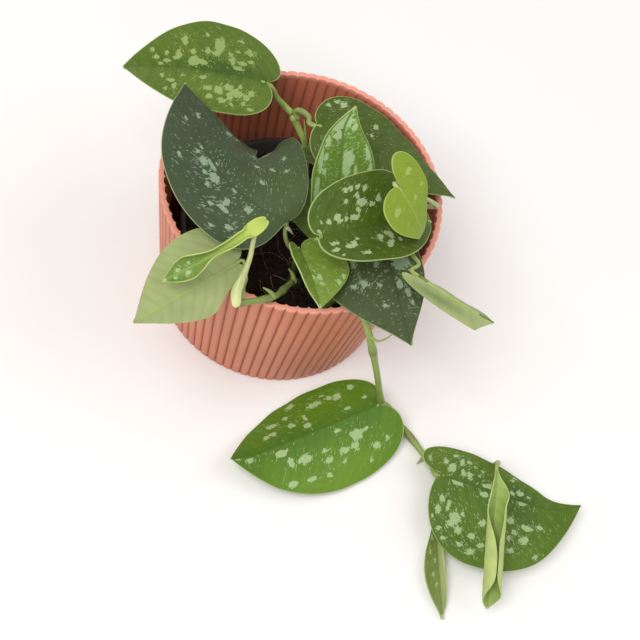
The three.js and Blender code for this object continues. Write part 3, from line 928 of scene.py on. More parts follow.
@dataclass
class LeafLook:
    """Makes a leaf's three materials: upper side, underside and stalk."""

    leaf: Leaf
    effects: Effects

    def veins(self, w: Wiring, place: Any) -> bpy.types.Node:
        """The side veins at a place on the blade's vein map."""
        return w.group(self.effects.veins, {"Place": place, "Spacing": self.leaf.VEIN_SPACING})

    def upper(self) -> bpy.types.Material:
        """Satin green with bands by the veins, silver splashes and flecks, and a pale margin."""
        finish = self.leaf.finish
        material, w = begin_material(self.leaf.node + "_upper")
        vein_place = w.map("vein")
        veins = self.veins(w, vein_place)
        tone = w.group(self.effects.mottle, {"Place": w.millimetres(), "Cloud": 18.0, "Grain": 0.7})
        depth = w.math("MULTIPLY", veins.outputs["Band"], finish.band)
        depth = w.math("ADD", depth, w.math("MULTIPLY", tone.outputs["Cloud"], 0.35))
        depth = w.math("ADD", depth, w.kept("shade"), clamp=True)
        colour = w.mix(depth, finish.green, finish.deep)
        colour = w.mix(w.kept("young"), colour, finish.light)
        along, across = finish.cell
        splash = w.group(self.effects.marks, {
            "Place": vein_place, "Length": along, "Width": across, "Share": w.kept("splash"),
            "Gap": -0.07, "Ragged": 1.6, "Seed": self.leaf.seed * 3.7,
        }).outputs[0]
        fleck_share = w.math("MULTIPLY_ADD", w.kept("halo"), finish.scatter, finish.fleck)
        fleck = w.group(self.effects.marks, {
            "Place": vein_place, "Length": along * 0.65, "Width": across * 0.5,
            "Share": fleck_share, "Gap": 0.05, "Ragged": 1.0, "Seed": self.leaf.seed * 5.3 + 40,
        }).outputs[0]
        silver = w.math("MAXIMUM", splash, w.math("MULTIPLY", fleck, 0.8))
        margin = w.kept("margin")
        silver = w.math("MULTIPLY", silver, w.rise(margin, 0.8, 1.8))
        rib = w.kept("rib")
        silver = w.math("MULTIPLY", silver, w.rise(rib, 0.4, 1.1))
        cover = w.between(tone.outputs["Grain"], finish.strength, 0.75 * finish.strength)
        colour = w.mix(w.math("MULTIPLY", silver, cover), colour, finish.silver)
        colour = w.tint(colour, w.fall(rib, 0.2, 1.2), 0.28, finish.rib)
        edge = w.fall(margin, 0.5 * finish.margin_width, 1.3 * finish.margin_width)
        colour = w.tint(colour, edge, 0.8, finish.margin)
        roughness = w.between(silver, finish.roughness, finish.roughness + 0.12)
        sunken = w.math("MULTIPLY", veins.outputs["Line"], 0.45)
        height = w.math("SUBTRACT", w.math("MULTIPLY", tone.outputs["Grain"], 0.5), sunken)
        height = w.math("ADD", height, w.math("MULTIPLY", silver, 0.3))
        end_material(w, colour, roughness, height, 0.09, Specular_IOR_Level=finish.gloss)
        return material

    def under(self) -> bpy.types.Material:
        """Pale matt green with the veins a shade darker."""
        finish = self.leaf.finish
        material, w = begin_material(self.leaf.node + "_under")
        veins = self.veins(w, w.map("vein"))
        tone = w.group(self.effects.mottle, {"Place": w.millimetres(), "Cloud": 14.0, "Grain": 0.8})
        share = w.math("MULTIPLY", veins.outputs["Line"], 0.14)
        share = w.math("ADD", share, w.math("MULTIPLY", veins.outputs["Band"], 0.12), clamp=True)
        colour = w.mix(tone.outputs["Cloud"], finish.under, shaded(finish.under, 1.2))
        colour = w.mix(share, colour, shaded(finish.under, 0.72))
        colour = w.mix(w.kept("shade"), colour, finish.deep)
        colour = w.mix(w.kept("young"), colour, finish.light)
        colour = w.tint(colour, w.fall(w.kept("rib"), 0.4, 1.3), 0.4, finish.stalk)
        raised = w.math("MULTIPLY", veins.outputs["Line"], 0.4)
        height = w.math("ADD", w.math("MULTIPLY", tone.outputs["Grain"], 0.5), raised)
        end_material(w, colour, 0.55, height, 0.1, Specular_IOR_Level=0.35)
        return material

    def stalk(self) -> bpy.types.Material:
        """Green with lengthwise streaks, paler at the foot."""
        finish = self.leaf.finish
        material, w = begin_material(self.leaf.node + "_stalk")
        scaled = w.vector("MULTIPLY", w.map("wrap"), (0.9, 0.12, 1.0))
        streak = w.noise(scaled, 1.0, 3).outputs["Fac"]
        colour = w.mix(w.rise(streak, 0.35, 0.7), shaded(finish.stalk, 0.7), finish.stalk)
        foot = w.fall(w.kept("along"), 0.0, 0.3)
        colour = w.tint(colour, foot, 0.6, shaded(finish.stalk, 1.35, 0.04))
        end_material(w, colour, 0.42, streak, 0.12, Specular_IOR_Level=0.45)
        return material


# ------------------------------------------------------------------------- stems


@dataclass(frozen=True)
class Stem:
    """A vine's stem from its root in the soil, with its joints and offshoots."""

    node: str
    points: tuple[Vec, ...]
    radius: float
    joints: tuple[float, ...]
    taper: float = 0.15
    pale: float = 0.6  # how far its green goes to the paler of two
    offshoots: tuple[Offshoot, ...] = ()

    SWELL = 0.28  # extra radius share at a joint
    SWELL_HALF = 0.025  # half its width, as a share of the stem's length
    SCAR_HALF = 0.012  # the same of the brown scar on it
    GAP = 0.3  # between a stem and the foot of a stalk
    SPINE = 400  # places along the stem that its joints are looked up on
    UP = (0.3, 0.2, 1.0)  # the side on which its map starts

    def size(self, share: Array, _angle: Array) -> Array:
        """The radius, with a swelling at each joint."""
        swell = sum(self.SWELL * hump(share, at, self.SWELL_HALF) for at in self.joints)
        return self.radius * (1 - self.taper * share + swell)

    def tube(self, grow: float, sides: int, spacing: float) -> Tube:
        """The bare stem as a tube, grown all round."""
        path = Path(self.points)
        steps = int(path.length() / spacing)
        return Tube(
            path, lambda share, angle: self.size(share, angle) + grow,
            sides=sides, steps=steps, up=self.UP,
        )

    def clearance(self) -> bpy.types.Object:
        """The stem a little grown, to cut the stalks' feet with."""
        return self.tube(self.GAP, 12, 2.5).build(self.node + "_clearance")

    def build(self, material: bpy.types.Material) -> bpy.types.Object:
        """Makes the stem with its offshoots in one piece."""
        stem = self.tube(0.0, 18, 1.0).build("fine_" + self.node)
        at = vertices_of(stem)
        spine = Path(self.points).sample(self.SPINE) * MM
        near = np.array([np.argmin(np.linalg.norm(spine - p, axis=1)) for p in at]) / self.SPINE
        scars = (hump(near, joint, self.SCAR_HALF) for joint in self.joints)
        store(stem, "joint", sum(scars, np.zeros(len(at))))
        store(stem, "pale", np.full(len(at), self.pale))
        parts = [shoot.build("offshoot") for shoot in self.offshoots]
        for part in parts:
            store(part, "sheath", np.ones(len(part.data.vertices)))
            store(part, "pale", np.full(len(part.data.vertices), self.pale))
        join(stem, parts)
        stem.data.materials.clear()
        stem.data.materials.append(material)
        hand_over(stem, Slot.STEM, self.node)
        return stem


# ------------------------------------------------------------------ planter, soil


@dataclass
class RingWork:
    """Builds a turned wall: a circle that is extruded ring by ring in edit mode."""

    name: str
    sides: int

    def build(self, profile: tuple[Pair, ...]) -> bpy.types.Object:
        """Extrudes a circle through the rings and closes both ends.

        Args:
            profile: radius and height of each ring, in millimetres.

        Returns:
            The closed piece.
        """
        deselect()
        radius, height = profile[0]
        bpy.ops.mesh.primitive_circle_add(
            vertices=self.sides, radius=radius * MM, location=(0, 0, height * MM)
        )
        piece = bpy.context.object
        piece.name = piece.data.name = self.name
        bpy.ops.object.transform_apply(location=True)
        bpy.ops.object.mode_set(mode="EDIT")
        bpy.ops.mesh.select_all(action="SELECT")
        bpy.ops.mesh.edge_face_add()
        bpy.ops.mesh.select_all(action="SELECT")
        for (before, low), (after, high) in zip(profile, profile[1:]):
            step = (0, 0, (high - low) * MM)
            bpy.ops.mesh.extrude_region_move(TRANSFORM_OT_translate={"value": step})
            scale = after / before
            bpy.ops.transform.resize(value=(scale, scale, 1), center_override=(0, 0, high * MM))
        bpy.ops.object.mode_set(mode="OBJECT")
        weld(piece)
        return piece


@dataclass
class Planter:
    """The reeded planter: a cup on a flat base, reeded outside and inside."""

    height: float = 106.0
    rim_radius: float = 80.0
    base_radius: float = 68.0
    wall: float = 3.0
    floor: float = 4.0
    foot_chamfer: float = 1.5
    reeds: int = 80
    reed_depth: float = 1.1
    steps_per_reed: int = 12
    rim_round: float = 0.4
    plain_share: float = 0.8  # share of the base's radius that has no reeds
    levels: tuple[float, ...] = (10.0, 30.0, 55.0, 80.0, 98.0, 103.0)  # rings up its wall

    def radius_at(self, z: float | Array) -> float | Array:
        """The outer radius over the reeds' crowns at a height."""
        return self.base_radius + (self.rim_radius - self.base_radius) * z / self.height

    def profile(self) -> tuple[Pair, ...]:
        """Rings from the middle of the base, up the outside, over the rim and down the inside."""
        top, rim, inner = self.height, self.rim_radius, self.rim_radius - self.wall
        soft = self.rim_round
        outside = [
            (1.0, 0.0), (self.base_radius * 0.6, 0.0), (self.base_radius - self.foot_chamfer, 0.0),
            (self.base_radius - 0.4, 0.4), (self.radius_at(self.foot_chamfer), self.foot_chamfer),
        ]
        outside += [(self.radius_at(z), z) for z in self.levels]
        rounded = [
            (rim, top - soft), (rim - 0.3 * soft, top - 0.3 * soft), (rim - soft, top),
            (inner + soft, top), (inner + 0.3 * soft, top - 0.3 * soft), (inner, top - soft),
        ]
        inside = [(self.radius_at(z) - self.wall, z) for z in (*self.levels[::-1], self.floor)]
        middle = ((self.base_radius * 0.5, self.floor), (1.0, self.floor))
        return (*outside, *rounded, *inside, *middle)

    def reed(self, piece: bpy.types.Object) -> None:
        """Sinks the grooves between the reeds; keeps where to paint shade in them and inside, light
        on the rim.
        """
        at = vertices_of(piece) / MM
        radius = np.hypot(at[:, 0], at[:, 1])
        angle = np.arctan2(at[:, 1], at[:, 0])
        phase = angle * self.reeds / (2 * math.pi)
        offset = 2 * (phase - np.floor(phase)) - 1
        depth = 1 - np.sqrt(np.maximum(0, 1 - offset**2))
        fade = np.where(radius < self.base_radius * self.plain_share, 0.0, 1.0)
        scale = 1 - depth * self.reed_depth * fade / radius
        at[:, :2] *= scale[:, None]
        move_vertices(piece, at)
        # painted shade: how dark the finish paints each groove between the reeds
        store(piece, "groove", np.abs(offset) ** 3 * fade)
        # painted light: the top of the rim, which the finish paints paler
        store(piece, "rim", ease(at[:, 2], self.height - 1.2, self.height - 0.2))
        # painted shade: the inner wall, which the finish paints darker
        middle = self.radius_at(at[:, 2]) - self.wall / 2
        store(piece, "inside", np.where(radius < middle, 1.0, 0.0))

    def build(self, effects: Effects) -> bpy.types.Object:
        """Makes the planter."""
        piece = RingWork("fine_planter", self.reeds * self.steps_per_reed).build(self.profile())
        self.reed(piece)
        smooth(piece, 42)
        piece.data.materials.append(self.finish(effects))
        hand_over(piece, Slot.PLANTER, "planter")
        return piece

    def finish(self, effects: Effects) -> bpy.types.Material:
        """Matt coral plastic with a fine grain, painted shade in the grooves and inside, painted
        light on the rim.
        """
        material, w = begin_material("coral_plastic")
        tone = w.group(effects.mottle, {"Place": w.millimetres(), "Cloud": 45.0, "Grain": 0.5})
        colour = w.mix(tone.outputs["Cloud"], paint(204, 125, 96), paint(211, 135, 107))
        colour = w.tint(colour, tone.outputs["Grain"], 0.18, paint(196, 116, 90))
        # painted shade on the inner wall
        colour = w.tint(colour, w.kept("inside"), 0.45, paint(196, 106, 78))
        # painted shade in the grooves between the reeds
        colour = w.tint(colour, w.kept("groove"), 0.75, paint(150, 80, 54))
        # painted light on the top of the rim
        colour = w.tint(colour, w.kept("rim"), 0.85, paint(235, 158, 138))
        end_material(w, colour, 0.52, tone.outputs["Grain"], 0.035, Specular_IOR_Level=0.4)
        return material


@dataclass
class NurseryPot:
    """The grower's pot: a thin tapered cup with a rolled rim."""

    rim_radius: float = 63.0
    top_radius: float = 61.0
    base_radius: float = 51.0
    top: float = 64.0
    rim_height: float = 4.0
    wall: float = 1.2
    floor: float = 4.3
    sides: int = 144

    def profile(self) -> tuple[Pair, ...]:
        """Rings from the middle of the floor, up the outside, over the rim and down the inside."""
        rim, top, skirt = self.rim_radius, self.top, self.top - self.rim_height
        base, floor, wall = self.base_radius, self.floor, self.wall
        inner = self.top_radius - wall
        return (
            (1.0, floor), (base * 0.6, floor), (base - 1, floor), (base, floor + 1),
            (base + 5, floor + 28), (self.top_radius, skirt), (rim - 0.5, skirt),
            (rim, skirt + 0.5), (rim, top - 0.9), (rim - 0.35, top - 0.25), (rim - 1.0, top),
            (inner + 0.5, top), (inner, top - 0.5), (base + 4 - wall, floor + 28),
            (base - wall, floor + wall), (1.0, floor + wall),
        )

    def build(self, effects: Effects) -> bpy.types.Object:
        """Makes the grower's pot."""
        piece = RingWork("fine_nursery_pot", self.sides).build(self.profile())
        smooth(piece, 40)
        material, w = begin_material("black_plastic")
        tone = w.group(effects.mottle, {"Place": w.millimetres(), "Cloud": 9.0, "Grain": 0.8})
        dust = w.math("MULTIPLY", w.rise(tone.outputs["Grain"], 0.5, 1.0), tone.outputs["Cloud"])
        colour = w.tint(paint(50, 49, 49), dust, 0.5, paint(104, 96, 88))
        roughness = w.between(dust, 0.42, 0.75)
        end_material(w, colour, roughness, tone.outputs["Grain"], 0.05, Specular_IOR_Level=0.5)
        piece.data.materials.append(material)
        hand_over(piece, Slot.NURSERY, "nursery_pot")
        return piece


@dataclass
class Soil:
    """The compost in the grower's pot, with its crumbs and fine roots."""

    radius: float = 57.8
    low_radius: float = 50.0
    top: float = 54.0
    bottom: float = 5.8
    bump: float = 1.6
    cells: int = 120
    crumbs: int = 260
    roots: int = 26
    crumb_reach: float = 0.96  # share of the radius that the crumbs keep to
    root_reach: float = 0.85  # share of the radius that the roots start in
    root_end: float = 0.95  # share of the radius past which a root stops
    root_points: int = 6
    root_step: float = 4.2  # between two points of a root
    rng: np.random.Generator = field(default_factory=lambda: np.random.default_rng(11))

    def height(self, x: Array, y: Array) -> Array:
        """The uneven top."""
        broad = np.sin(x * 0.16 + 1) * np.cos(y * 0.19) + 0.6 * np.sin(x * 0.31 - y * 0.27)
        spots = (Vector((a / 5, b / 5, 3.1)) for a, b in zip(x, y))
        fine = np.array([noise.fractal(spot, 1.0, 2.0, 3) for spot in spots])
        return self.top + self.bump * broad + 0.9 * fine

    def build(self, effects: Effects) -> None:
        """Makes the body of soil, then the crumbs and the root hairs on it."""
        material = self.finish(effects)
        piece, a, b = grid("fine_soil", self.cells, self.cells)
        x = a * np.sqrt(1 - b**2 / 2) * self.radius
        y = b * np.sqrt(1 - a**2 / 2) * self.radius
        inside = 1 - ease(np.hypot(x, y) / self.radius, 0.93, 1.0)
        z = self.top + (self.height(x, y) - self.top) * inside
        move_vertices(piece, np.stack([x, y, z], axis=1))
        select(piece)
        bpy.ops.object.mode_set(mode="EDIT")
        bpy.ops.mesh.select_mode(type="EDGE")
        bpy.ops.mesh.select_all(action="DESELECT")
        bpy.ops.mesh.select_non_manifold()
        drop = (self.bottom - self.top) * MM
        bpy.ops.mesh.extrude_region_move(TRANSFORM_OT_translate={"value": (0, 0, drop)})
        scale = self.low_radius / self.radius
        bpy.ops.transform.resize(value=(scale, scale, 1), center_override=(0, 0, self.bottom * MM))
        bpy.ops.mesh.edge_face_add()
        bpy.ops.mesh.select_mode(type="VERT")
        bpy.ops.object.mode_set(mode="OBJECT")
        weld(piece)
        smooth(piece, 60)
        piece.data.materials.append(material)
        hand_over(piece, Slot.SOIL, "soil")
        self.scatter_crumbs(material)
        self.lay_roots(effects)

    def spot(self, reach: float) -> Pair:
        """A random place on the top, evenly spread out to a share of its radius."""
        radius = self.radius * reach * math.sqrt(self.rng.random())
        angle = self.rng.random() * 2 * math.pi
        return radius * math.cos(angle), radius * math.sin(angle)

    def scatter_crumbs(self, material: bpy.types.Material) -> None:
        """Copies a deformed lump all over the soil, pressed into it, as one piece."""
        deselect()
        bpy.ops.mesh.primitive_ico_sphere_add(subdivisions=1, radius=1)
        lump = bpy.context.object
        corners = vertices_of(lump)
        faces = np.array([tuple(p.vertices) for p in lump.data.polygons])
        bpy.data.objects.remove(lump)
        places, indices = [], []
        for index in range(self.crumbs):
            x, y = self.spot(self.crumb_reach)
            size = 0.5 + 1.6 * self.rng.random() ** 2
            shape = corners * self.rng.uniform(0.6, 1.25, corners.shape) * size
            z = self.height(np.array([x]), np.array([y]))[0] + 0.25 * size
            places.append(shape * (1, 1, 0.7) + (x, y, z))
            indices.append(faces + index * len(corners))
        mesh = bpy.data.meshes.new("soil_crumbs")
        mesh.from_pydata((np.vstack(places) * MM).tolist(), [], np.vstack(indices).tolist())
        piece = bpy.data.objects.new("soil_crumbs", mesh)
        bpy.context.collection.objects.link(piece)
        piece.data.materials.append(material)
        hand_over(piece, Slot.SOIL)

    def lay_roots(self, effects: Effects) -> None:
        """Lays fine pale roots over the soil, as one piece."""
        strands = []
        for _ in range(self.roots):
            x, y = self.spot(self.root_reach)
            heading = self.rng.random() * 2 * math.pi
            points = []
            for _ in range(self.root_points):
                lift = 0.5 + 1.2 * self.rng.random()
                z = self.height(np.array([x]), np.array([y]))[0]
                points.append((x, y, z + lift))
                heading += self.rng.normal(0, 0.5)
                x += self.root_step * math.cos(heading)
                y += self.root_step * math.sin(heading)
                if math.hypot(x, y) > self.radius * self.root_end:
                    break
            if len(points) > 2:
                size = self.rng.uniform(0.16, 0.34)
                strand = Offshoot(tuple(points), size, thinning=0.5, sides=6, steps=18)
                strands.append(strand.build("root_hair"))
        piece = join(strands[0], strands[1:])
        piece.name = piece.data.name = "root_hairs"
        material, w = begin_material("fine_roots")
        tone = w.group(effects.mottle, {"Place": w.millimetres(), "Cloud": 6.0, "Grain": 0.5})
        colour = w.mix(tone.outputs["Cloud"], paint(96, 74, 52), paint(150, 126, 92))
        end_material(w, colour, 0.8, tone.outputs["Grain"], 0.05)
        piece.data.materials.clear()
        piece.data.materials.append(material)
        hand_over(piece, Slot.SOIL)

    def finish(self, effects: Effects) -> bpy.types.Material:
        """Nearly black moist peat with brown fibres."""
        material, w = begin_material("moist_peat")
        tone = w.group(effects.mottle, {"Place": w.millimetres(), "Cloud": 3.5, "Grain": 0.7})
        colour = w.mix(tone.outputs["Cloud"], paint(20, 16, 14), paint(46, 36, 28))
        brown = w.rise(tone.outputs["Grain"], 0.72, 1.0)
        colour = w.tint(colour, brown, 0.7, paint(92, 68, 50))
        roughness = w.between(tone.outputs["Cloud"], 0.95, 0.7)
        end_material(w, colour, roughness, tone.outputs["Grain"], 0.6, Specular_IOR_Level=0.3)
        return material


# -------------------------------------------------------------------------- vines


@dataclass
class Vines:
    """All the stems and the leaves on them."""

    stems: tuple[Stem, ...]
    leaves: tuple[Leaf, ...]

    def stem_finish(self, effects: Effects) -> bpy.types.Material:
        """Smooth green with lengthwise streaks, brown scars at the joints and olive sheaths."""
        material, w = begin_material("vine_green")
        tone = w.group(effects.mottle, {"Place": w.millimetres(), "Cloud": 16.0, "Grain": 0.6})
        scaled = w.vector("MULTIPLY", w.map("wrap"), (0.9, 0.1, 1.0))
        streak = w.noise(scaled, 1.0, 3).outputs["Fac"]
        cloud = w.math("MULTIPLY", tone.outputs["Cloud"], 0.3)
        paler = w.math("ADD", cloud, w.kept("pale"))
        colour = w.mix(paler, paint(92, 116, 50), paint(164, 184, 92))
        colour = w.tint(colour, w.rise(streak, 0.45, 0.75), 0.4, paint(160, 182, 110))
        colour = w.tint(colour, w.kept("joint"), 0.7, paint(118, 112, 62))
        colour = w.tint(colour, w.kept("sheath"), 0.6, paint(150, 156, 92))
        speck = w.rise(tone.outputs["Grain"], 0.8, 0.95)
        colour = w.tint(colour, speck, 0.25, paint(150, 140, 90))
        end_material(w, colour, 0.46, streak, 0.1, Specular_IOR_Level=0.45)
        return material

    def build(self, effects: Effects) -> None:
        """Makes the stems, then the leaves with their stalks cut clear of them."""
        material = self.stem_finish(effects)
        clearances = [stem.clearance() for stem in self.stems]
        for stem in self.stems:
            stem.build(material)
        for leaf in self.leaves:
            leaf.build(effects, clearances)
        for clearance in clearances:
            bpy.data.objects.remove(clearance)


STEMS = (
    Stem(
        "stem_crown",
        (
            (1, 34, 34), (0, 35, 54), (-3, 38, 76), (-7, 40.5, 90), (-13.9, 43.2, 99),
            (-18.5, 45, 104.5),
        ),
        radius=2.2, joints=(0.72, 0.97), pale=0.9,
        offshoots=(Offshoot(((-5.7, 38.6, 88), (-8.2, 39.4, 99), (-11.7, 42, 109)), 1.7),),
    ),
    Stem(
        "stem_centre",
        ((11, -28, 34), (11, -30, 54), (10, -36, 80), (9, -40.8, 102.5)),
        radius=1.9, joints=(0.96,), pale=0.0,
    ),
    Stem(
        "stem_right",
        ((30, 2, 34), (30, 1, 54), (31, 0, 78), (34, 0, 99)),
        radius=2.3, joints=(0.72, 0.86, 0.97),
    ),
    Stem(
        "stem_lime",
        (
            (15, -27, 34), (15, -31, 54), (14, -44, 80), (11.5, -54.5, 96), (8.8, -64.5, 104),
            (5.9, -73.6, 109.4), (3.7, -76.7, 110.2), (-2.5, -81.3, 110.6), (-9, -85.4, 110.8),
            (-12.6, -87.8, 111),
        ),
        radius=1.9, joints=(0.74, 0.86, 0.98), pale=0.0,
        offshoots=(
            Offshoot(((4.1, -76.2, 111), (1.5, -76, 113.5), (-2.5, -76.2, 115.5)), 1.7),
            Offshoot(((12, -55, 97), (10, -53.5, 101), (7.1, -52.8, 104)), 1.9),
        ),
    ),
    Stem(
        "stem_trailing",
        (
            (34, -38, 34), (34, -39.5, 54), (38, -47, 84), (41.6, -53, 102.5), (44.6, -58.2, 108.6),
            (48.3, -64.2, 110), (52.8, -69.6, 109.4), (57.5, -73.2, 103.8), (61.5, -73.6, 94),
            (68, -71.6, 74), (75.4, -69.3, 50), (81.1, -65.2, 28), (86, -61.9, 10),
            (90.1, -62.2, 4.2), (96, -64.3, 2.9), (102.6, -68.1, 2.8), (111.8, -74.9, 2.8),
            (119.5, -80.8, 2.8), (127, -83.6, 2.8), (138, -85.5, 2.8), (148, -86, 2.8),
        ),
        radius=2.1, joints=(0.27, 0.45, 0.71, 0.84, 0.92), taper=0.2, pale=0.3,
        offshoots=(
            Offshoot(
                ((58, -73.5, 102), (63.5, -75.8, 101), (67, -75, 103.5), (70.5, -71.5, 107)), 1.0,
            ),
            Offshoot(((119, -81.5, 2.8), (117.6, -84.4, 2.4), (116.2, -87, 1.8)), 1.4),
        ),
    ),
)

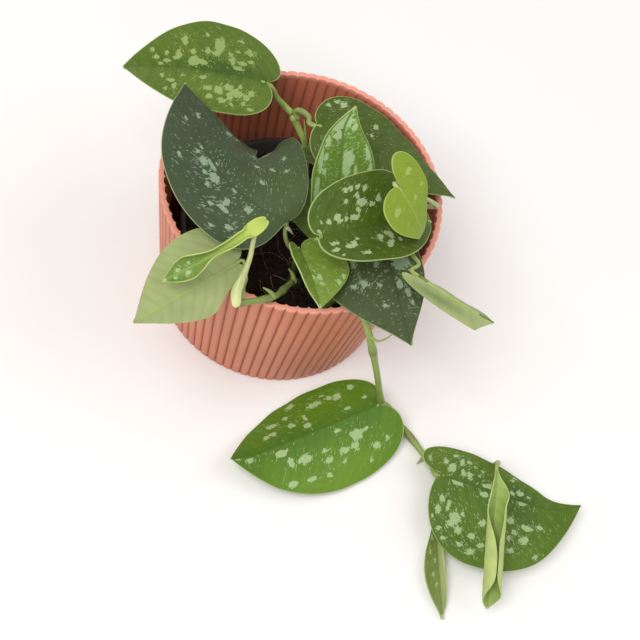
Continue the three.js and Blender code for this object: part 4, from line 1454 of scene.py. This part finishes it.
LEAVES = (
    Leaf(
        "leaf_back_left",
        Blade(
            base=(-38, 42, 129), heading=199, pitch=17, roll=0, length=80, width=(25.4, 33),
            lobe=(0.08, 0.19), widest=(0.34, 0.34), full=(0.5, 0.46), fold=-9, curl=(4, 16),
            droop=27, tip=1, twist=-12, dent=(0.07, 0), dent_at=0.5,
        ),
        Petiole(((-20.5, 45.8, 106.5), (-25, 45.5, 110.5), (-30, 44.5, 116.2)), radius=1.75),
        finish=replace(GREEN, silver=paint(156, 175, 108), strength=0.8, scatter=0.12),
        slot=Slot.GREEN, rows=110, columns=72, seed=1,
        shades=(Patch((0.35, -0.08), (0.4, 0.16), 0.9),),
        splashes=marks(
            (0.12, 0.77, 0.03, 0.05), (0.17, 0.67, 0.02, 0.06), (0.145, 0.51, 0.03, 0.08),
            (0.11, 0.375, 0.03, 0.08), (0.22, 0.44, 0.05, 0.12), (0.27, 0.54, 0.03, 0.12),
            (0.28, 0.34, 0.04, 0.1), (0.35, 0.44, 0.04, 0.12), (0.325, 0.67, 0.03, 0.08),
            (0.41, 0.6, 0.03, 0.08), (0.425, 0.41, 0.03, 0.06), (0.257, 0.74, 0.02, 0.05),
            (0.19, 0.28, 0.02, 0.06), (0.66, 0.44, 0.02, 0.08), (0.68, 0.31, 0.03, 0.05),
            (0.74, 0.21, 0.015, 0.06), (0.46, 0.18, 0.03, 0.05), (0.6, 0.18, 0.01, 0.03),
            (0.715, 0.5, 0.015, 0.05), (0.21, -0.15, 0.05, 0.05), (0.17, -0.28, 0.04, 0.06),
            (0.245, -0.28, 0.025, 0.1), (0.11, -0.35, 0.03, 0.05), (0.11, -0.55, 0.04, 0.08),
            (0.17, -0.74, 0.02, 0.04), (0.335, -0.55, 0.04, 0.18), (0.36, -0.38, 0.03, 0.08),
            (0.425, -0.41, 0.02, 0.06), (0.46, -0.15, 0.05, 0.07), (0.525, -0.15, 0.04, 0.12),
            (0.525, -0.35, 0.02, 0.06), (0.58, -0.55, 0.025, 0.12), (0.625, -0.25, 0.03, 0.1),
            (0.65, -0.18, 0.02, 0.05), (0.705, -0.12, 0.03, 0.05), (0.705, -0.28, 0.015, 0.06),
            (0.75, -0.05, 0.02, 0.04), (0.78, -0.18, 0.02, 0.06), (0.425, -0.72, 0.015, 0.04),
            (0.257, -0.41, 0.02, 0.05), (0.2, -0.51, 0.02, 0.04), (0.805, -0.32, 0.015, 0.05),
        ),
    ),
    Leaf(
        "leaf_back_right",
        Blade(
            base=(-4, 26, 129), heading=-2, pitch=-1, roll=3, length=89, width=(33, 24),
            lobe=(0.06, 0.03), widest=(0.27, 0.27), full=(0.24, 0.24), fold=-12, curl=(2, -6),
            droop=22, twist=-16,
        ),
        Petiole(
            ((-16, 44.8, 103.5), (-17.5, 45.6, 109.5), (-14, 42.8, 114), (-9.5, 36, 120)),
            radius=1.7,
        ),
        finish=replace(
            GREEN, green=paint(74, 94, 22), deep=paint(48, 68, 10), fleck=0.29, scatter=0.14,
        ),
        slot=Slot.GREEN, seed=2,
        splashes=marks(
            (0.11, 0.7, 0.03, 0.08), (0.02, 0.54, 0.02, 0.04), (0.06, 0.7, 0.02, 0.04),
            (0.36, 0.57, 0.012, 0.05), (0.35, 0.31, 0.012, 0.05),
        ),
    ),
    Leaf(
        "leaf_broad_dark",
        Blade(
            base=(-1, -40, 128), heading=191, pitch=15.5, roll=-16, length=99, width=(32, 62.5),
            lobe=(-0.06, 0.133), widest=(0.32, 0.255), full=(0.56, 0.4), fold=5, curl=(-16, -45),
            droop=38, twist=55, sweep=-88, tip=9, dent=(0, 0.51), dent_at=0.54, dent_half=0.06,
        ),
        Petiole(
            ((8.2, -40.4, 104), (5.2, -41, 105.5), (1.6, -41.3, 110.5), (-1.2, -40.6, 118)),
            radius=1.3, under=True,
        ),
        finish=replace(DARK, green=paint(53, 69, 40), light=paint(76, 96, 44)),
        slot=Slot.DARK, rows=110, columns=80, seed=3,
        young=(Patch((0.0, -0.2), (0.35, 0.9), 0.55),),
        splashes=marks(
            (0.246, 0.67, 0.02, 0.06), (0.31, 0.47, 0.035, 0.06), (0.32, 0.34, 0.02, 0.08),
            (0.22, 0.18, 0.02, 0.08), (0.36, 0.57, 0.015, 0.05), (0.37, 0.7, 0.01, 0.03),
            (0.45, 0.18, 0.04, 0.1), (0.435, 0.375, 0.015, 0.05), (0.49, 0.28, 0.015, 0.06),
            (0.515, 0.05, 0.05, 0.08), (0.54, 0.18, 0.03, 0.1), (0.6, 0.18, 0.012, 0.06),
            (0.62, 0.08, 0.012, 0.05), (0.33, 0.05, 0.015, 0.05), (0.6, 0.55, 0.012, 0.04),
            (0.81, -0.02, 0.02, 0.03), (0.775, 0.24, 0.015, 0.03), (0.3, 0.84, 0.012, 0.03),
            (0.1, -0.45, 0.02, 0.03), (0.16, -0.6, 0.02, 0.03), (0.24, -0.22, 0.03, 0.02),
            (0.22, -0.41, 0.025, 0.02), (0.345, -0.35, 0.03, 0.02), (0.42, -0.45, 0.04, 0.015),
            (0.72, -0.4, 0.03, 0.06), (0.67, -0.48, 0.02, 0.03),
        ),
        stipule=Offshoot(((-0.9, -39.8, 121.5), (1, -40.3, 120.5), (3.2, -40.6, 118.5)), 1.2),
    ),
    Leaf(
        "leaf_small_front",
        Blade(
            base=(9, -49, 120), heading=-53, pitch=5, roll=-21, length=36, width=(23, 12),
            lobe=(0.21, 0.15), widest=(0.4, 0.4), full=(0.35, 0.35), fold=13, curl=(10, 18),
            droop=16, twist=-6,
        ),
        Petiole(((10.5, -42.8, 103), (10.5, -46.5, 111)), radius=1.2, under=True),
        finish=replace(
            GREEN, green=paint(120, 145, 54), deep=paint(88, 114, 32), fleck=0.31, scatter=0.16,
        ),
        slot=Slot.GREEN, seed=4,
        splashes=marks(
            (0, 0.57, 0.06, 0.06), (0.05, 0.73, 0.03, 0.04), (0.14, 0.82, 0.04, 0.04),
            (0.55, 0.8, 0.05, 0.06), (0.62, 0.65, 0.05, 0.05), (0.51, 0.2, 0.06, 0.07),
            (0.5, 0.05, 0.05, 0.05), (0.62, 0.2, 0.03, 0.05), (0.37, 0, 0.03, 0.03),
            (0.32, -0.07, 0.03, 0.12), (0.85, 0.5, 0.04, 0.06), (-0.14, 0.33, 0.03, 0.06),
            (0.74, 0.7, 0.04, 0.05),
        ),
    ),
    Leaf(
        "leaf_turned_over",
        Blade(
            base=(-19, -70, 121), heading=232, pitch=-5, roll=158, length=66, width=(27, 18),
            lobe=(0.14, 0.05), widest=(0.29, 0.29), full=(0.34, 0.34), fold=5, curl=(4, 6),
            droop=12, twist=4, dent=(0, 0.42), dent_at=0.38,
        ),
        Petiole(((-10.5, -85, 109.5), (-12.2, -78.5, 111.5), (-13.5, -72.5, 116.5)), radius=1.1),
        finish=PALE, slot=Slot.PALE, seed=11,
    ),
    Leaf(
        "leaf_new_rolled",
        Blade(
            base=(-17.5, -66.8, 148.5), heading=232, pitch=-18, roll=-14, length=51,
            width=(7.2, 7.2), lobe=(0.19, 0.19), widest=(0.66, 0.66), full=(0.85, 0.85), fold=8,
            curl=(150, 165), curl_by=0.07, uncurl=0.75, droop=4, sweep=-10, cup=1, dent=(0.4, 0.4),
            dent_at=0.34,
        ),
        Petiole(
            (
                (-12.8, -88.4, 111.5), (-14.7, -85.4, 117.5), (-14.2, -79.8, 123),
                (-13.8, -73.6, 135), (-14.8, -69.5, 143),
            ),
            radius=1.4, flare=1.3,
        ),
        finish=replace(
            LIME, green=paint(74, 112, 34), deep=paint(146, 166, 86), silver=paint(172, 194, 142),
            under=paint(152, 170, 88), stalk=paint(200, 206, 142), light=paint(182, 198, 92),
            strength=0.85, fleck=0.33,
        ),
        slot=Slot.LIME, seed=12,
        shades=(Patch((0.3, 0.0), (0.28, 3.0), 1.0),),
        young=(Patch((-0.04, 0.0), (0.2, 3.0), 0.9),),
        splashes=marks(
            (0.74, 0.3, 0.03, 0.2), (0.82, -0.2, 0.03, 0.2), (0.7, -0.35, 0.02, 0.2),
            (0.88, 0.2, 0.02, 0.2),
        ),
    ),
    Leaf(
        "leaf_upright",
        Blade(
            base=(22, -15, 112), heading=116, pitch=63, roll=5, length=62, width=(18, 19),
            lobe=(0.14, 0.15), widest=(0.37, 0.37), full=(0.5, 0.5), fold=8, curl=(9, 9), droop=12,
            hook=-7,
        ),
        Petiole(((31, -2, 88), (28, -10, 100)), radius=1.3),
        finish=replace(
            GREEN, green=paint(104, 136, 48), deep=paint(78, 108, 32), silver=paint(176, 198, 148),
            rib=paint(84, 112, 40), fleck=0.31, scatter=0.16,
        ),
        slot=Slot.GREEN, rows=96, columns=64, seed=5,
        splashes=marks(
            (0.49, -0.16, 0.15, 0.16), (0.545, -0.22, 0.09, 0.16), (0.44, -0.43, 0.06, 0.05),
            (0.45, 0.57, 0.04, 0.07), (0.585, 0.54, 0.04, 0.1), (0.25, 0.63, 0.06, 0.07),
            (0.35, 0.77, 0.08, 0.06), (0.6, 0.72, 0.2, 0.1), (0.88, 0.2, 0.1, 0.5),
            (0.76, 0.15, 0.05, 0.2), (0.83, -0.3, 0.05, 0.1), (0.68, -0.78, 0.2, 0.12),
            (0.4, -0.85, 0.15, 0.1), (0.28, 0.82, 0.15, 0.12), (0.72, 0.5, 0.06, 0.12),
        ),
    ),
    Leaf(
        "leaf_centre_right",
        Blade(
            base=(16, -50, 138), heading=35, pitch=4, roll=14, length=77, width=(29, 22),
            lobe=(0.09, 0.04), widest=(0.5, 0.5), full=(0.44, 0.44), fold=15, curl=(4, 2), droop=33,
            tip=4, twist=-2,
        ),
        Petiole(
            ((30, -2, 78), (30, -14, 92), (28, -22, 104), (23.5, -30, 117), (18.5, -41, 129)),
            radius=1.5, under=True,
        ),
        finish=replace(GREEN, green=paint(74, 96, 20), deep=paint(50, 70, 12), margin_width=0.4),
        slot=Slot.GREEN, rows=110, columns=72, seed=6,
        splashes=marks(
            (0.254, 0.71, 0.02, 0.06), (0.29, 0.73, 0.015, 0.05), (0.345, 0.74, 0.02, 0.05),
            (0.39, 0.7, 0.02, 0.05), (0.325, 0.585, 0.02, 0.07), (0.35, 0.46, 0.045, 0.09),
            (0.24, 0.51, 0.015, 0.05), (0.486, 0.48, 0.03, 0.08), (0.09, 0.22, 0.02, 0.05),
            (0.16, 0.27, 0.03, 0.08), (0.175, 0.195, 0.03, 0.04), (0.22, 0.22, 0.015, 0.06),
            (0.285, 0.21, 0.04, 0.06), (0.32, 0.33, 0.015, 0.06), (0.04, 0.24, 0.01, 0.04),
            (0.43, 0.4, 0.02, 0.05), (0.01, 0.085, 0.02, 0.05), (-0.02, -0.04, 0.02, 0.06),
            (0.08, -0.28, 0.015, 0.06), (0.08, -0.46, 0.03, 0.07), (0.11, -0.28, 0.01, 0.05),
            (0.19, -0.43, 0.05, 0.07), (0.22, -0.35, 0.02, 0.05), (0.25, -0.28, 0.02, 0.04),
            (0.28, -0.7, 0.04, 0.05), (0.425, -0.34, 0.03, 0.12), (0.48, -0.25, 0.02, 0.08),
            (0.51, -0.34, 0.025, 0.12), (0.47, -0.57, 0.03, 0.1), (0.5, -0.51, 0.02, 0.06),
            (0.565, -0.49, 0.015, 0.08), (0.115, -0.63, 0.01, 0.05),
        ),
    ),
    Leaf(
        "leaf_young_lime",
        Blade(
            base=(47, -19, 159.5), heading=-18, pitch=-36, roll=-5, length=35, width=(21, 21),
            lobe=(0.5, 0.13), widest=(0.23, 0.23), full=(0.25, 0.25), fold=0, curl=(2, 0), droop=19,
            tip=4, twist=-11,
        ),
        Petiole(
            ((34, 1, 92), (54, 11, 104), (66, 6, 117), (72.5, 4.5, 123.5), (64, -1, 134)),
            radius=1.4,
        ),
        finish=LIME, slot=Slot.LIME, seed=10,
        splashes=marks(
            (0.285, 0.76, 0.04, 0.08), (0.33, 0.31, 0.04, 0.1), (-0.05, 0.55, 0.05, 0.15),
            (0.22, -0.55, 0.06, 0.2),
        ),
    ),
    Leaf(
        "leaf_dark_front",
        Blade(
            base=(46, -16, 116), heading=-62, pitch=1, roll=5, length=72, width=(18, 37),
            lobe=(0.15, 0), widest=(0.37, 0.37), full=(0.27, 0.27), fold=-1, curl=(0, -9), droop=5,
            twist=1,
        ),
        Petiole(((35, -1, 93), (40, -8, 106)), radius=1.3),
        finish=replace(DARK, green=paint(66, 80, 42), deep=paint(50, 63, 28)),
        slot=Slot.DARK, seed=7,
        splashes=marks(
            (0.33, 0.35, 0.06, 0.35), (0.58, 0.33, 0.05, 0.1), (0.67, 0.39, 0.03, 0.05),
            (0.51, 0.15, 0.05, 0.1), (0.46, -0.43, 0.04, 0.07), (0.47, -0.58, 0.03, 0.04),
            (0.31, -0.19, 0.03, 0.05), (0.66, -0.22, 0.015, 0.05), (0.28, -0.52, 0.04, 0.05),
            (0.49, -0.22, 0.02, 0.03),
        ),
    ),
    Leaf(
        "leaf_narrow_right",
        Blade(
            base=(70, -46.5, 129), heading=-11, pitch=-8, roll=178, length=49, width=(8.5, 8),
            lobe=(0.2, 0.14), widest=(0.84, 0.84), full=(1, 1), fold=32, curl=(24, 24), droop=4,
        ),
        Petiole(
            ((35, 1, 98), (43, -2, 116), (57, -18, 122.5), (66, -33, 126.5), (71, -40, 129.5)),
            radius=1.3,
        ),
        finish=replace(PALE, deep=paint(84, 108, 50)),
        slot=Slot.PALE, seed=13,
        shades=(Patch((0.35, 0.45), (0.4, 0.3), 0.7),),
    ),
    Leaf(
        "leaf_small_behind",
        Blade(
            base=(16, 28, 101), heading=186, pitch=2, roll=10, length=28, width=(11, 9),
            lobe=(0.1, 0.1), widest=(0.3, 0.3), full=(0.3, 0.3), fold=8, curl=(10, 10), droop=6,
        ),
        Petiole(((30, 2, 76), (26, 15, 90)), radius=1.0),
        finish=replace(DARK, green=paint(88, 108, 20), deep=paint(66, 86, 12)),
        slot=Slot.DARK, seed=14,
    ),
    Leaf(
        "leaf_shaded",
        Blade(
            base=(20, -7, 101), heading=205, pitch=-4, roll=0, length=23, width=(20, 22),
            lobe=(0, 0.12), widest=(0.4, 0.4), full=(0.4, 0.4), fold=4, curl=(6, 6), droop=10,
        ),
        Petiole(((30.5, 0, 84), (27, -1, 93)), radius=1.1),
        finish=replace(DARK, green=paint(98, 126, 44), deep=paint(70, 94, 24)),
        slot=Slot.DARK, seed=15,
    ),
    Leaf(
        "leaf_trail_first",
        Blade(
            base=(84, -66, 18), heading=222, pitch=-4, roll=-5, length=96, width=(37, 30),
            lobe=(0.15, 0.08), widest=(0.37, 0.37), full=(0.7, 0.7), fold=-15, curl=(-13, -12),
            droop=0, tip=-6, twist=21,
        ),
        Petiole(((93, -63, 3.5), (91, -63, 12)), radius=1.4),
        finish=replace(GREEN, green=paint(91, 127, 26), deep=paint(66, 104, 30)),
        slot=Slot.GREEN, rows=110, columns=72, seed=8,
        shades=(Patch((0.5, 0.0), (0.6, 0.25), 0.5),),
        young=(Patch((0.4, 0.8), (0.4, 0.4), 0.18),),
        splashes=marks(
            (0.035, 0.52, 0.018, 0.045), (0.117, 0.57, 0.033, 0.06), (0.18, 0.75, 0.012, 0.03),
            (0.25, 0.45, 0.03, 0.08), (0.21, 0.3, 0.05, 0.1), (0.15, 0.27, 0.03, 0.03),
            (0.326, 0.45, 0.035, 0.05), (0.32, 0.13, 0.03, 0.03), (0.344, 0.6, 0.02, 0.03),
            (0.44, 0.505, 0.03, 0.06), (0.468, 0.73, 0.02, 0.04), (0.444, 0.35, 0.03, 0.03),
            (0.583, 0.68, 0.04, 0.04), (0.571, 0.35, 0.05, 0.08), (0.711, 0.64, 0.035, 0.05),
            (0.665, 0.33, 0.025, 0.1), (0.7, 0.14, 0.05, 0.07), (0.895, 0.085, 0.03, 0.05),
            (0.962, 0.03, 0.015, 0.03), (0.2, -0.19, 0.025, 0.04), (0.065, -0.28, 0.015, 0.03),
            (0.105, -0.64, 0.02, 0.09), (0.21, -0.55, 0.03, 0.1), (0.256, -0.61, 0.022, 0.07),
            (0.286, -0.73, 0.015, 0.04), (0.353, -0.6, 0.06, 0.07), (0.474, -0.18, 0.03, 0.08),
            (0.456, -0.38, 0.015, 0.09), (0.55, -0.34, 0.025, 0.08), (0.558, -0.58, 0.022, 0.05),
            (0.484, -0.835, 0.03, 0.06), (0.654, -0.54, 0.04, 0.06), (0.677, -0.33, 0.025, 0.06),
            (0.73, -0.29, 0.02, 0.05), (0.36, -0.82, 0.012, 0.03),
        ),
    ),
    Leaf(
        "leaf_trail_broad",
        Blade(
            base=(129, -94.5, 13.5), heading=3, pitch=-5, roll=-2, length=85, width=(20.5, 49),
            lobe=(0.2, 0.08), widest=(0.22, 0.38), full=(0.32, 0.83), fold=-1, curl=(0, -12),
            droop=0, tip=-9, twist=-17, hook=3,
        ),
        Petiole(((121.5, -83.5, 3.2), (123.5, -87.5, 6.5), (125, -92, 10.5)), radius=1.5),
        finish=replace(
            GREEN, green=paint(87, 113, 30), deep=paint(62, 90, 22), scatter=0.14,
            margin_width=0.15,
        ),
        slot=Slot.GREEN, rows=110, columns=80, seed=9,
        shades=(Patch((0.5, 0.1), (0.25, 0.35), 0.8),),
        splashes=marks(
            (-0.1, 0.41, 0.02, 0.1), (-0.04, 0.79, 0.02, 0.06), (0.025, 0.47, 0.018, 0.12),
            (0.076, 0.335, 0.03, 0.18), (0.09, 0.75, 0.015, 0.07), (0.144, 0.6, 0.02, 0.12),
            (0.16, 0.28, 0.02, 0.12), (0.21, 0.26, 0.025, 0.15), (0.195, 0.68, 0.015, 0.06),
            (0.245, 0.6, 0.015, 0.06), (0.3, 0.55, 0.015, 0.05), (0.28, 0.36, 0.01, 0.05),
            (0.335, 0.1, 0.035, 0.08), (0.33, -0.08, 0.03, 0.05), (0.135, -0.03, 0.05, 0.05),
            (0.36, 0.13, 0.02, 0.12), (0.585, 0.23, 0.03, 0.12), (0.535, 0.16, 0.02, 0.08),
            (0.55, 0.73, 0.02, 0.06), (0.525, 0.6, 0.015, 0.05), (0.61, -0.03, 0.04, 0.05),
            (0.65, 0.2, 0.012, 0.05), (0.045, -0.29, 0.02, 0.06), (0.03, -0.43, 0.025, 0.06),
            (0, -0.53, 0.015, 0.04), (0.095, -0.35, 0.015, 0.08), (0.155, -0.48, 0.04, 0.1),
            (0.13, -0.57, 0.03, 0.05), (0.19, -0.62, 0.03, 0.05), (0.2, -0.41, 0.015, 0.05),
            (0.06, -0.65, 0.02, 0.03), (0.1, -0.76, 0.02, 0.03), (0.22, -0.78, 0.03, 0.03),
            (0.29, -0.64, 0.03, 0.05), (0.3, -0.83, 0.03, 0.04), (0.34, -0.46, 0.03, 0.05),
            (0.36, -0.73, 0.02, 0.04), (0.535, -0.32, 0.03, 0.05), (0.66, -0.355, 0.045, 0.05),
            (0.645, -0.53, 0.035, 0.06), (0.575, -0.46, 0.03, 0.03), (0.54, -0.54, 0.02, 0.04),
            (0.745, -0.3, 0.03, 0.03), (0.56, -0.7, 0.03, 0.03), (0.735, -0.7, 0.02, 0.02),
        ),
    ),
    Leaf(
        "leaf_trail_rolled",
        Blade(
            base=(153.8, -97.3, 47), heading=-73.5, pitch=-31, roll=0, length=77, width=(16, 16),
            lobe=(-0.1, -0.3), widest=(0.66, 0.66), full=(1, 1), fold=10, curl=(150, 165),
            curl_by=0.25, droop=-7,
        ),
        Petiole(
            (
                (148, -86, 2.8), (155, -79, 2.4), (160, -72.5, 2.6), (161.6, -71.6, 7),
                (160, -77.5, 18), (155.8, -88, 36),
            ),
            radius=1.2,
        ),
        finish=replace(
            PALE, green=paint(150, 172, 88), deep=paint(120, 146, 64), under=paint(166, 180, 106),
        ),
        slot=Slot.PALE, seed=16,
    ),
    Leaf(
        "leaf_trail_narrow",
        Blade(
            base=(131, -110, 5.5), heading=-72, pitch=-4, roll=0, length=67, width=(8.5, 9),
            lobe=(-0.25, -0.3), widest=(0.5, 0.62), full=(0.35, 0.5), fold=6, curl=(150, 14),
            curl_by=0.4, droop=-3,
        ),
        Petiole(((131, -86, 3), (129.5, -93, 4.2), (129.5, -101, 5)), radius=1.1),
        finish=replace(
            DARK, green=paint(112, 130, 52), deep=paint(88, 106, 38), silver=paint(168, 182, 132),
            under=paint(176, 188, 124), light=paint(182, 194, 132),
        ),
        slot=Slot.DARK, seed=17, young=(Patch((0.6, 0.7), (0.5, 0.6), 1.1),),
        splashes=marks(
            (0.3, -0.3, 0.04, 0.12), (0.42, -0.5, 0.03, 0.1), (0.5, -0.2, 0.03, 0.1),
            (0.62, -0.4, 0.03, 0.1), (0.7, -0.2, 0.025, 0.08), (0.38, -0.7, 0.02, 0.08),
        ),
    ),
)


# ------------------------------------------------------------------------- studio


@dataclass
class Studio:
    """The camera, the pale floor and the soft light."""

    camera_at: Vec = (0.0, -466.8, 755.7)
    right: Vec = (0.9447, 0.2593, 0.2007)
    up: Vec = (-0.3253, 0.8181, 0.4741)
    back: Vec = (-0.0412, -0.5132, 0.8573)
    lens: float = 81.0
    floor_size: float = 6.0
    lit: Vec = (0.02, -0.02, 0.08)  # the place that the lights are aimed at
    room_light: float = 0.62  # strength of the even light from all round

    def place_camera(self) -> None:
        """Sets the camera."""
        data = bpy.data.cameras.new("camera")
        data.lens = self.lens
        data.sensor_width = 36.0
        data.clip_end = 50.0
        camera = bpy.data.objects.new("camera", data)
        bpy.context.collection.objects.link(camera)
        matrix = Matrix((self.right, self.up, self.back)).transposed().to_4x4()
        matrix.translation = Vector(self.camera_at) * MM
        camera.matrix_world = matrix
        bpy.context.scene.camera = camera

    def lay_floor(self, effects: Effects) -> None:
        """Lays the plain pale floor."""
        deselect()
        bpy.ops.mesh.primitive_plane_add(size=self.floor_size, location=(0, 0, 0))
        floor = bpy.context.object
        floor.name = "floor"
        material, w = begin_material("pale_floor")
        tone = w.group(effects.mottle, {"Place": w.millimetres(), "Cloud": 300.0, "Grain": 2.0})
        colour = w.mix(tone.outputs["Cloud"], paint(238, 236, 233), paint(242, 240, 238))
        end_material(w, colour, 0.8, tone.outputs["Grain"], 0.01)
        floor.data.materials.append(material)

    def light(self, name: str, place: Vec, size: float, power: float) -> None:
        """Hangs a square soft light, in metres, aimed at the plant."""
        data = bpy.data.lights.new(name, "AREA")
        data.size = size
        data.energy = power
        lamp = bpy.data.objects.new(name, data)
        bpy.context.collection.objects.link(lamp)
        lamp.location = place
        aim = Vector(self.lit) - Vector(place)
        lamp.rotation_euler = aim.to_track_quat("-Z", "Y").to_euler()

    def build(self, effects: Effects) -> None:
        """Sets up camera, floor, lights and the room's even light."""
        self.place_camera()
        self.lay_floor(effects)
        self.light("key", (-0.45, -0.75, 1.5), 0.9, 18.0)
        self.light("fill", (1.0, 0.3, 1.2), 1.2, 5.0)
        world = bpy.data.worlds.new("room")
        world.use_nodes = True
        background = world.node_tree.nodes["Background"].inputs
        background["Color"].default_value = (1.0, 1.0, 1.0, 1.0)
        background["Strength"].default_value = self.room_light
        scene = bpy.context.scene
        scene.world = world
        scene.view_settings.view_transform = "Standard"


def main() -> None:
    """Builds the scene in order."""
    logging.basicConfig(level=logging.INFO, format="%(message)s")
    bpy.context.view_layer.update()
    effects = Effects()
    Planter().build(effects)
    NurseryPot().build(effects)
    Soil().build(effects)
    Vines(STEMS, LEAVES).build(effects)
    Studio().build(effects)


if __name__ == "__main__":
    main()
